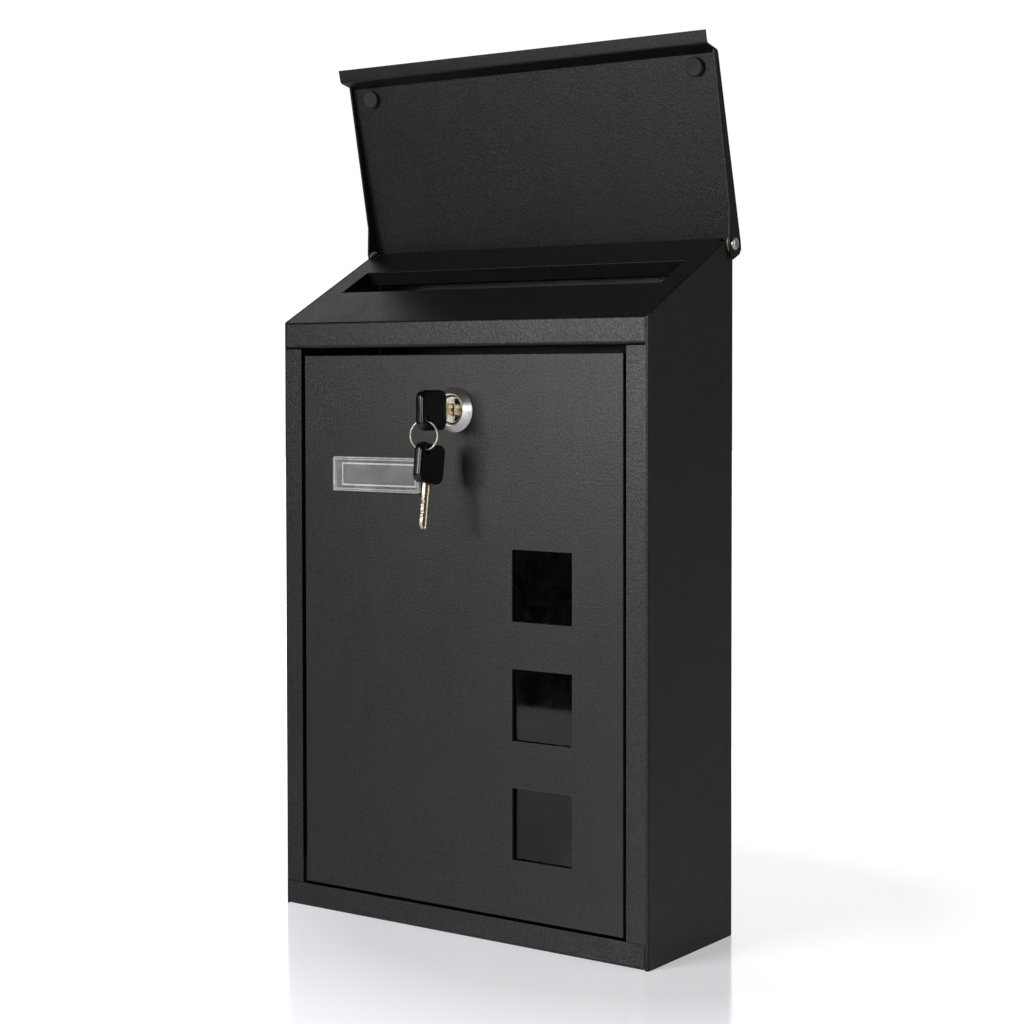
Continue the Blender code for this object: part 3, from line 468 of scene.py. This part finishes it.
def lathe(name, profile, middle, axis, steps, closed=True):
    """A shape turned about an axis from (radius, height) points."""
    work = bmesh.new()
    rings = []
    for radius, height in profile:
        if radius < ON_AXIS:
            rings.append([work.verts.new((0.0, 0.0, height))])
            continue
        turns = [2 * pi * step / steps for step in range(steps)]
        rings.append([work.verts.new((radius * cos(a), radius * sin(a), height)) for a in turns])
    pairs = list(zip(rings, rings[1:]))
    if closed:
        pairs.append((rings[-1], rings[0]))
    for upper, lower in pairs:
        if len(upper) == 1 and len(lower) == 1:
            continue
        for step in range(steps):
            after = (step + 1) % steps
            corners = [upper[step % len(upper)], lower[step % len(lower)],
                       lower[after % len(lower)], upper[after % len(upper)]]
            work.faces.new(list(dict.fromkeys(corners)))
    piece = new_piece(name, mesh_from(name, work))
    turn = Vector(axis).to_track_quat("Z", "Y").to_matrix().to_4x4()
    piece.data.transform(Matrix.Translation(middle) @ turn)
    return piece


def rounded_corner(start, corner, end, radius, steps):
    """Points on an arc that rounds one corner of a profile."""
    start, corner, end = Vector(start), Vector(corner), Vector(end)
    inward = (start - corner).normalized()
    outward = (end - corner).normalized()
    half = inward.angle(outward) / 2
    reach = min(radius / tan(half), (start - corner).length * 0.49, (end - corner).length * 0.49)
    points = []
    for step in range(steps + 1):
        part = step / steps
        low = corner.lerp(corner + inward * reach, 1 - part)
        high = corner.lerp(corner + outward * reach, part)
        points.append(tuple(low.lerp(high, part)))
    return points


def soften(profile, radius, steps, closed=True):
    """A profile with all its corners rounded; points on the axis stay."""
    points = []
    count = len(profile)
    for index, corner in enumerate(profile):
        ends = not closed and index in (0, count - 1)
        if ends or corner[0] < ON_AXIS:
            points.append(corner)
            continue
        before = profile[index - 1]
        after = profile[(index + 1) % count]
        points += rounded_corner(before, corner, after, radius, steps)
    return points


def outline(low, high, radius, steps):
    """A rounded rectangle as points, anticlockwise."""
    corners = ((high[0] - radius, high[1] - radius), (low[0] + radius, high[1] - radius),
               (low[0] + radius, low[1] + radius), (high[0] - radius, low[1] + radius))
    points = []
    for quarter, (x, y) in enumerate(corners):
        for step in range(steps + 1):
            turn = (quarter + step / steps) * pi / 2
            points.append((x + radius * cos(turn), y + radius * sin(turn)))
    return points


def loft(name, rings):
    """Loops of points with the same count joined by quads, closed with a face at each end."""
    work = bmesh.new()
    loops = [[work.verts.new(point) for point in ring] for ring in rings]
    for lower, upper in zip(loops, loops[1:]):
        for index in range(len(lower)):
            after = (index + 1) % len(lower)
            work.faces.new((lower[index], lower[after], upper[after], upper[index]))
    work.faces.new(loops[0])
    work.faces.new(loops[-1])
    return new_piece(name, mesh_from(name, work))


def box_piece(name, low, high):
    work = bmesh.new()
    bmesh.ops.create_cube(work, size=1.0)
    size = Matrix.Diagonal((*(Vector(high) - Vector(low)), 1.0))
    work.transform(Matrix.Translation((Vector(low) + Vector(high)) / 2) @ size)
    return new_piece(name, mesh_from(name, work))


def without(piece, cutter):
    """The piece with a cutter's shape taken out, as its own mesh."""
    removal = piece.modifiers.new("removal", "BOOLEAN")
    removal.operation = "DIFFERENCE"
    removal.object = cutter
    evaluated = piece.evaluated_get(bpy.context.evaluated_depsgraph_get())
    mesh = bpy.data.meshes.new_from_object(evaluated)
    mesh.name = piece.name
    piece.modifiers.clear()
    piece.data = mesh
    bpy.data.objects.remove(cutter)
    return piece


def middle_of(node):
    low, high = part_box(node)
    return (low + high) / 2


# Pieces


def panels(coats):
    refined("wrap_shell", "cabinet_wrap", coats["body"], 0.40 * MM)
    refined("top_panel", "cabinet_top", coats["body"], 0.28 * MM)
    refined("bottom_panel", "cabinet_floor", coats["body"], 0.28 * MM)
    refined("lid_panel", "rain_lid", coats["lid"], 0.28 * MM)
    refined("door_panel", "front_door", coats["door"], 0.22 * MM)


def lid_fittings(metal, rubber, nylon):
    """Domed rivets, washers and rubber buttons."""
    tail = RIVET_STEM * 1.4
    for side, word in ((-1, "left"), (1, "right")):
        low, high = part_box(f"lid_rivet_{word}")
        middle = (low + high) / 2
        head = (high.z - low.z) / 2
        outer = max(abs(low.x), abs(high.x))
        inner = min(abs(low.x), abs(high.x))
        seat = outer - RIVET_HEAD
        rim = seat + RIVET_RIM
        dome = [(0.0, outer)]
        for step in range(1, DOME_STEPS + 1):
            turn = step / DOME_STEPS * pi / 2
            dome.append((head * sin(turn), rim + (outer - seat - RIVET_RIM) * cos(turn)))
        dome += [(head, seat + 0.08 * MM), (head - 0.1 * MM, seat), (RIVET_STEM, seat)]
        dome += [(RIVET_STEM, inner + 1.95 * MM), (tail, inner + 1.85 * MM)]
        dome += [(tail, inner + 0.5 * MM), (RIVET_STEM * 1.15, inner + 0.1 * MM), (0.0, inner)]
        place = (0, middle.y, middle.z)
        rivet = lathe(f"rivet_{word}", dome, place, (side, 0, 0), steps=48, closed=False)
        dress(rivet, metal, f"lid_rivet_{word}")
        refined(f"lid_washer_{word}", f"rivet_washer_{word}", nylon, 0.12 * MM)
        button(word, rubber)


def button(word, rubber):
    """A moulded rubber button with a rounded rim and a shallow dish in its face."""
    points = [vertex.co.copy() for vertex in NODES[f"lid_bumper_{word}"].data.vertices]
    middle = sum(points, Vector()) / len(points)
    hinge = Vector(JOINTS["lid_hinge"]["pos_m"])
    tilt = lid_tilt()
    along = Vector((0.0, -cos(tilt), sin(tilt)))
    axis = Vector((0.0, sin(tilt), cos(tilt)))
    heights = [(point - middle).dot(axis) for point in points]
    low, high = min(heights), max(heights)
    radius = max(((p - middle) - axis * (p - middle).dot(axis)).length for p in points)
    spans = [(point - hinge).dot(along) for point in points]
    centre = hinge + along * ((min(spans) + max(spans)) / 2)
    centre.x = (max(p.x for p in points) + min(p.x for p in points)) / 2
    centre += axis * ((middle - hinge).dot(axis) - (centre - hinge).dot(axis))
    profile = [(0.0, high), (radius, high), (radius, low + BUTTON_TAPER)]
    profile += [(radius - 0.75 * MM, low), (radius * 0.62, low)]
    profile += [(radius * 0.52, low + 0.22 * MM), (0.0, low + 0.26 * MM)]
    profile = soften(profile, 0.3 * MM, steps=4, closed=False)
    piece = lathe(f"rubber_button_{word}", profile, centre, axis, steps=48, closed=False)
    dress(piece, rubber, f"lid_bumper_{word}")


def lid_tilt():
    """The lid's rest angle: the slope of the longest edge of its panel that runs front to back."""
    points = NODES["lid_panel"].data.vertices
    longest, angle = 0.0, 0.0
    for edge in NODES["lid_panel"].data.edges:
        start, end = (points[index].co for index in edge.vertices)
        span = end - start
        if abs(span.x) > 0.01 * MM:
            continue
        if span.length > longest + 0.01 * MM:
            longest = span.length
            span = span if span.z > 0 else -span
            angle = atan2(span.z, -span.y)
    return angle


def hinge_fittings(metal, coat):
    for word in ("left", "right"):
        refined(f"hinge_bracket_{word}", f"door_bracket_{word}", coat, 0.2 * MM)
        refined(f"door_pin_{word}", f"hinge_pin_{word}", metal, 0.12 * MM, angle=40.0)


def windows(smoked, dark_foam):
    refined("window_pane", "smoked_pane", smoked, 0.15 * MM)
    for word in ("left", "right"):
        refined(f"pane_tape_{word}", f"foam_strip_{word}", dark_foam, 0.15 * MM)


def lock(chrome, zinc, plug_metal):
    """Threaded barrel with its bevelled ring, plug, cam and their fastenings."""
    low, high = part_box("lock_body")
    ring = (high.z - low.z) / 2
    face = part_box("door_panel")[0].y
    front = face - low.y
    rear = face - high.y
    plug_low, plug_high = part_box("lock_plug")
    bore = (plug_high.z - plug_low.z) / 2 + BORE_GAP
    crown = bore + CROWN_WIDTH
    seat = 0.3 * MM
    profile = [(bore, rear), (bore, 2.3 * MM), (bore + 0.25 * MM, 3.3 * MM)]
    profile += [(crown - 0.75 * MM, front - 0.3 * MM), (crown - 0.5 * MM, front), (crown, front)]
    profile += [(ring - 0.5 * MM, 1.4 * MM), (ring, 0.9 * MM), (ring, seat)]
    profile += [(BARREL - 0.3 * MM, seat)]
    pitch = (seat - rear - 1.5 * MM) / THREADS
    root = BARREL - 0.32 * MM
    thread = [(BARREL - 0.3 * MM, -1.6 * MM)]
    for number in range(2, THREADS):
        top = -number * pitch
        thread += [(root, top), (BARREL, top - pitch * 0.45), (BARREL, top - pitch * 0.60)]
    thread += [(root, rear + 0.9 * MM), (BARREL - 0.5 * MM, rear)]
    place = (0, face, (low.z + high.z) / 2)
    barrel = lathe("lock_barrel", soften(profile, 0.22 * MM, steps=3) + thread, place, (0, -1, 0), steps=96)
    dress(barrel, chrome, "lock_body", smooth=32.0)
    refined("lock_plug", "turning_plug", plug_metal, 0.15 * MM, angle=45.0)
    refined("lock_cam", "locking_cam", zinc, 0.2 * MM)
    refined("lock_washer", "barrel_washer", zinc, 0.15 * MM)
    refined("lock_nut", "barrel_nut", zinc, 0.25 * MM)
    refined("cam_washer", "small_washer", zinc, 0.12 * MM)
    refined("cam_screw", "cross_screw", zinc, 0.12 * MM)


def plate_highlight_rims():
    """Where the name plate's border and frame are painted white as highlight, as the highlight lines take
    them.
    """
    low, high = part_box("nameplate_holder")
    card_low, card_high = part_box("name_card")
    highlight_rims = []
    for inset, half in PLATE_BORDERS:
        highlight_rims.append(((low.x + inset, low.z + inset), (high.x - inset, high.z - inset), half))
    highlight_rims.append(((card_low.x, card_low.z), (high.x - 2.4 * MM, card_high.z), 0.5 * MM))
    return highlight_rims


def plate_ring(low, high, inset, corner, level):
    """A rounded rectangle set in from two corners, at a level along y."""
    loop = outline((low[0] + inset, low[1] + inset), (high[0] - inset, high[1] - inset), corner, steps=6)
    return [(x, level, z) for x, z in loop]


def name_plate(clear, card_finish, tape_finish):
    """Clear pocket with a raised border and a raised frame about the card's window."""
    low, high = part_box("nameplate_holder")
    card_low, card_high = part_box("name_card")
    depth = high.y - low.y
    border = [(0.0, 0.0), (0.0, -depth + 0.7 * MM), (0.35 * MM, -depth + 0.15 * MM), (0.6 * MM, -depth),
              (1.15 * MM, -depth), (1.5 * MM, -depth + 0.55 * MM)]
    rings = []
    for inset, level in border:
        corner = max(1.3 * MM - inset, 0.3 * MM)
        rings.append(plate_ring((low.x, low.z), (high.x, high.z), inset, corner, high.y + level))
    frame_low = (card_low.x - FRAME_MARGIN, card_low.z - FRAME_MARGIN)
    frame_high = (high.x - FRAME_FROM_END, card_high.z + FRAME_MARGIN)
    frame = [(0.0, 0.55 * MM), (0.12 * MM, 0.15 * MM), (0.3 * MM, 0.08 * MM), (0.75 * MM, 0.08 * MM),
             (0.95 * MM, 0.2 * MM), (1.05 * MM, 0.75 * MM)]
    for inset, level in frame:
        corner = max(0.9 * MM - inset, 0.2 * MM)
        rings.append(plate_ring(frame_low, frame_high, inset, corner, low.y + level))
    holder = loft("plate_holder", rings)
    gap = 0.3 * MM
    pocket = box_piece("pocket", (card_low.x - gap, card_low.y - gap, card_low.z - gap),
                       (high.x + 2 * MM, card_high.y + gap, card_high.z + gap))
    holder = without(holder, pocket)
    dress(holder, clear, "nameplate_holder", smooth=35.0)
    refined("name_card", "blank_card", card_finish, 0.05 * MM, segments=1)
    refined("nameplate_tape", "plate_pad", tape_finish, 0.08 * MM, segments=1)


def key_grip(name):
    """A key's head with pillowed edges and a ring hole at the origin; the blade points up."""
    levels = []
    for step in range(GRIP_STEPS + 1):
        bend = step / GRIP_STEPS * pi / 2
        levels.append((GRIP_ROLL * (1 - sin(bend)), GRIP_HALF - GRIP_ROLL + GRIP_ROLL * cos(bend)))
    low = (-BLADE_OFFSET - GRIP_SIZE / 2, -GRIP_END)
    high = (GRIP_SIZE / 2 - BLADE_OFFSET, GRIP_SIZE - GRIP_END)
    rings = []
    for sign in (1, -1):
        for inset, level in levels[::sign]:
            loop = outline((low[0] + inset, low[1] + inset), (high[0] - inset, high[1] - inset),
                           GRIP_CORNER - inset * 0.6, steps=10)
            rings.append([(sign * level, y, z) for y, z in loop])
    head = loft(name, rings)
    hole_profile = [(RING_HOLE, 4 * MM), (RING_HOLE, -4 * MM)]
    drill = lathe("hole_tool", hole_profile, (0, 0, 0), (1, 0, 0), steps=40, closed=False)
    capped = bmesh.new()
    capped.from_mesh(drill.data)
    bmesh.ops.holes_fill(capped, edges=capped.edges)
    bmesh.ops.recalc_face_normals(capped, faces=capped.faces)
    capped.to_mesh(drill.data)
    capped.free()
    head = without(head, drill)
    shoulder = GRIP_SIZE - GRIP_END
    socket = box_piece("slot", (-SOCKET_HALF, -BLADE_OFFSET - SOCKET_REACH, shoulder - SOCKET_DEPTH),
                       (SOCKET_HALF, -BLADE_OFFSET + SOCKET_REACH, shoulder + 2 * MM))
    return without(head, socket)


def key(prefix, hole, turn, plastic, metal):
    """A moulded head and its cut blade, turned about the ring hole."""
    head = key_grip(f"{prefix}_grip")
    head.data.transform(Matrix.Translation(hole) @ Matrix.Rotation(turn, 4, "X"))
    dress(head, plastic, f"{prefix}_head", smooth=180.0)
    edge_round(head, 0.3 * MM, segments=3, angle=40.0)
    refined(f"{prefix}_blade", f"{prefix}_cut_blade", metal, 0.12 * MM)


def split_ring(metal):
    """Round wire wound twice, so that its two coils lie side by side and part at the ends."""
    middle = middle_of("key_ring")
    low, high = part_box("key_ring")
    radius = (high.z - low.z) / 2 - RING_INSET
    turn = RING_TURN
    across = Vector((-sin(turn), cos(turn), 0.0))
    flat = Vector((cos(turn), sin(turn), 0.0))
    section = outline((-WIRE, -WIRE), (WIRE, WIRE), 0.999 * WIRE, steps=3)
    rings = []
    for step in range(COIL_STEPS + 1):
        part = step / COIL_STEPS
        angle = COIL_START + part * COIL_SWEEP
        jog = min(1.0, max(0.0, (part - 0.46) / 0.08))
        jog = jog * jog * (3 - 2 * jog)
        out = flat * cos(angle) + Vector((0, 0, 1)) * sin(angle)
        centre = middle + across * ((jog - 0.5) * COIL_SPREAD)
        rings.append([centre + out * (radius + u) + across * v for u, v in section])
    ring = loft("split_ring", rings)
    dress(ring, metal, "key_ring", smooth=50.0)


# Stage


def stage_set():
    """Pale glossy floor whose near edge lies behind the camera's lower frame.

    It glows a little for every ray, and for the camera more so away from the box, so that it fades to white.
    """
    near, far, side = FLOOR_EDGES
    work = bmesh.new()
    corners = ((-side, near), (side, near), (side, far), (-side, far))
    work.faces.new([work.verts.new((x, y, -0.05 * MM)) for x, y in corners])
    floor = new_piece("studio_floor", mesh_from("studio_floor", work))
    material, tree, shader = finish_for("pale_floor")
    place = object_space(tree)
    cloud = noise(tree, place, 0.2, detail=3.0)
    grain = noise(tree, place, 0.6 * MM, detail=2.0)
    tint = blended(tree, ranged(tree, cloud, 0.0, 1.0), (0.86, 0.86, 0.90), (0.89, 0.89, 0.93))
    seen = add(tree, "ShaderNodeLightPath").outputs["Is Camera Ray"]
    away = add(tree, "ShaderNodeVectorMath", {0: place, 1: FLOOR_CENTRE}, operation="DISTANCE")
    fade = ranged(tree, away.outputs["Value"], *FLOOR_FADE, start=0.17, end=0.52)
    glow = total(tree, FLOOR_GLOW, product(tree, seen, fade))
    shade(tree, shader, Base_Color=tint, Roughness=ranged(tree, cloud, 0.09, 0.13), IOR=FLOOR_IOR,
          Emission_Color=(0.955, 0.96, 1.0, 1.0), Emission_Strength=glow,
          Normal=bump(tree, grain, 0.01 * MM, strength=0.05))
    floor.data.materials.append(material)


def background(tree, colour, strength):
    """Light from far away, in a colour."""
    inputs = {"Color": (*colour, 1.0), "Strength": strength}
    return add(tree, "ShaderNodeBackground", inputs).outputs[0]


def world_light():
    """White behind the box for the camera, and a soft studio for everything else."""
    world = bpy.data.worlds.new("studio")
    bpy.context.scene.world = world
    world.use_nodes = True
    tree = world.node_tree
    tree.nodes.clear()
    direction = add(tree, "ShaderNodeTexCoord").outputs["Generated"]
    parts = add(tree, "ShaderNodeSeparateXYZ", {"Vector": direction}).outputs
    path = add(tree, "ShaderNodeLightPath").outputs
    above = ranged(tree, parts["Z"], 0.0, 1.0, start=-0.04, end=0.06)
    behind = ranged(tree, parts["Y"], 0.0, 1.0, start=0.15, end=0.45)
    left = ranged(tree, parts["X"], 1.0, 0.0, start=-0.42, end=-0.20)
    overhead = ranged(tree, parts["Z"], 0.0, 0.01, start=0.55, end=1.0)
    glow = total(tree, product(tree, behind, left, BACK_GLOW, above), overhead, DIM_GLOW)
    right = ranged(tree, parts["X"], 0.0, WARM_GLOW, start=0.20, end=0.45)
    warm = product(tree, right, behind, above)
    # A low white card behind the box, which only reflections see: the floor mirrors the box against it.
    low = ranged(tree, parts["Z"], 1.0, 0.0, start=0.36, end=0.50)
    beyond = ranged(tree, parts["Y"], 0.0, 1.0, start=0.30, end=0.50)
    leftward = ranged(tree, parts["X"], 1.0, 0.0, start=0.0, end=0.2)
    card = product(tree, above, low, beyond, leftward, path["Is Glossy Ray"], CARD_GLOW)
    light = background(tree, (1.0, 0.985, 0.96), glow)
    for extra in (background(tree, (1.0, 0.93, 0.85), warm), background(tree, WHITE, card)):
        light = add(tree, "ShaderNodeAddShader", {0: light, 1: extra}).outputs[0]
    mixed = {0: path["Is Camera Ray"], 1: light, 2: background(tree, WHITE, CAMERA_WHITE)}
    mix = add(tree, "ShaderNodeMixShader", mixed)
    add(tree, "ShaderNodeOutputWorld", {"Surface": mix.outputs[0]})


def softbox(name, place, target, size, power, colour):
    light = bpy.data.lights.new(name, "AREA")
    light.shape = "RECTANGLE"
    light.size, light.size_y = size
    light.energy = power
    light.color = colour
    lamp = bpy.data.objects.new(name, light)
    bpy.context.scene.collection.objects.link(lamp)
    lamp.location = place
    lamp.rotation_euler = (Vector(target) - Vector(place)).to_track_quat("-Z", "Y").to_euler()


def studio():
    world_light()
    stage_set()
    front = (0.0, -0.05, 0.28)
    softbox("key_light", (-0.43, -1.38, 0.62), front, size=(0.70, 0.66), power=17.0,
            colour=(1.0, 0.99, 0.985))
    softbox("camera_fill", (1.10, -1.35, 0.45), front, size=(0.45, 0.40), power=8.0, colour=WHITE)
    softbox("side_fill", (1.9, 0.9, 0.7), (0.1, 0.0, 0.25), size=(0.5, 1.0), power=3.2,
            colour=(1.0, 0.98, 0.96))


def camera():
    """The photograph's viewpoint: low, from the front right, through a long lens."""
    image = 1024
    sensor = 36.0
    focal = 2064.8
    middle = (528.8, 442.3)
    place = (0.71375, -0.98399, 0.31913)
    yaw, pitch, roll = radians(-35.21), radians(-1.74), radians(0.065)
    data = bpy.data.cameras.new("camera")
    data.sensor_width = sensor
    data.lens = focal * sensor / image
    data.shift_x = (image / 2 - middle[0]) / image
    data.shift_y = (middle[1] - image / 2) / image
    data.clip_start = 0.05
    lens = bpy.data.objects.new("camera", data)
    bpy.context.scene.collection.objects.link(lens)
    forward = Vector((sin(yaw) * cos(pitch), cos(yaw) * cos(pitch), sin(pitch)))
    right = Vector((cos(yaw), -sin(yaw), 0.0))
    up = right.cross(forward)
    axes = Matrix((right, up, -forward)).transposed().to_4x4()
    spin = Matrix.Rotation(roll, 4, forward)
    lens.matrix_world = Matrix.Translation(place) @ spin @ axes
    bpy.context.scene.camera = lens


# One powder coat in three copies: the lid's is darker and less shiny, which is painted shade; the door's is a
# little lighter.
coats = {
    "body": powder_coat("graphite_coat_body", (0.0030, 0.0030, 0.0033), (0.0044, 0.0044, 0.0048), shine=0.93),
    "door": powder_coat("graphite_coat_door", (0.0034, 0.0034, 0.0038), (0.0048, 0.0048, 0.0053), shine=0.93),
    "lid": powder_coat("graphite_coat_lid_shaded", (0.0026, 0.0026, 0.0028), (0.0038, 0.0038, 0.0041), shine=0.74),
}
lock_middle = tuple(middle_of("lock_body"))
chrome = turned_metal("polished_chrome", (0.66, 0.65, 0.62), (0.80, 0.79, 0.76), rough=(0.28, 0.40),
                      line=0.16 * MM, middle=lock_middle)
plug_metal = turned_metal("turned_plug", (0.40, 0.36, 0.28), (0.62, 0.58, 0.48), rough=(0.18, 0.34),
                          line=0.20 * MM, middle=lock_middle)
zinc = plated_metal("zinc_plate", (0.42, 0.41, 0.38), (0.62, 0.61, 0.57), rough=(0.28, 0.44))
rivet_metal = plated_metal("rivet_zinc", (0.52, 0.49, 0.42), (0.74, 0.70, 0.62), rough=(0.24, 0.38))
key_metal = plated_metal("pale_nickel_brass", (0.52, 0.47, 0.36), (0.76, 0.70, 0.56), rough=(0.30, 0.42),
                         stretch=(1.0, 0.08, 0.08), grain=0.14 * MM, strength=0.35)
# Painted shade: a darker copy of the key metal for the blade in the lock, which lies in its head's shadow.
shaded_key_metal = plated_metal("shaded_nickel_brass", (0.20, 0.17, 0.12), (0.48, 0.42, 0.31), rough=(0.26, 0.40),
                          stretch=(1.0, 0.3, 0.3), grain=0.22 * MM, strength=0.8)
ring_metal = plated_metal("pale_nickel_wire", (0.66, 0.61, 0.48), (0.84, 0.80, 0.68), rough=(0.34, 0.44))
rubber = moulded("black_rubber", (0.008, 0.008, 0.008), (0.013, 0.013, 0.013), rough=(0.62, 0.82),
                 grain=0.28 * MM, depth=0.05 * MM)
plastic = moulded("gloss_black_plastic", (0.0016, 0.0016, 0.0018), (0.0026, 0.0026, 0.0028),
                  rough=(0.16, 0.22), grain=0.5 * MM, depth=0.004 * MM)
nylon = moulded("grey_nylon", (0.24, 0.23, 0.21), (0.32, 0.31, 0.29), rough=(0.45, 0.60),
                grain=0.4 * MM, depth=0.02 * MM)
smoked = clear_plastic("smoked_acrylic", (0.10, 0.105, 0.115), (0.12, 0.125, 0.135),
                       rough=(0.015, 0.05), see_through=(0.97, 1.0))
clear = clear_plastic("clear_acrylic", (0.74, 0.74, 0.74), (0.82, 0.82, 0.82),
                      rough=(0.05, 0.14), see_through=(0.80, 0.90), highlight_rims=plate_highlight_rims())

panels(coats)
lid_fittings(rivet_metal, rubber, nylon)
hinge_fittings(zinc, coats["body"])
windows(smoked, foam("foam_tape"))
lock(chrome, zinc, plug_metal)
name_plate(clear, paper("grey_card"), foam("foam_pad"))
key_hole = Vector(JOINTS["ring_swing"]["pos_m"]) + Vector((0.0, 0.0, HOLE_ABOVE_RING))
spare_hole = Vector(JOINTS["spare_key_swing"]["pos_m"])
# The key in the lock takes the darker copy of the key metal as painted shade.
key("key", key_hole, -pi / 2, plastic, shaded_key_metal)
key("spare_key", spare_hole, pi - SPARE_TILT, plastic, key_metal)
split_ring(ring_metal)
studio()
camera()
bpy.context.scene.view_settings.view_transform = "Standard"

bpy.context.view_layer.update()
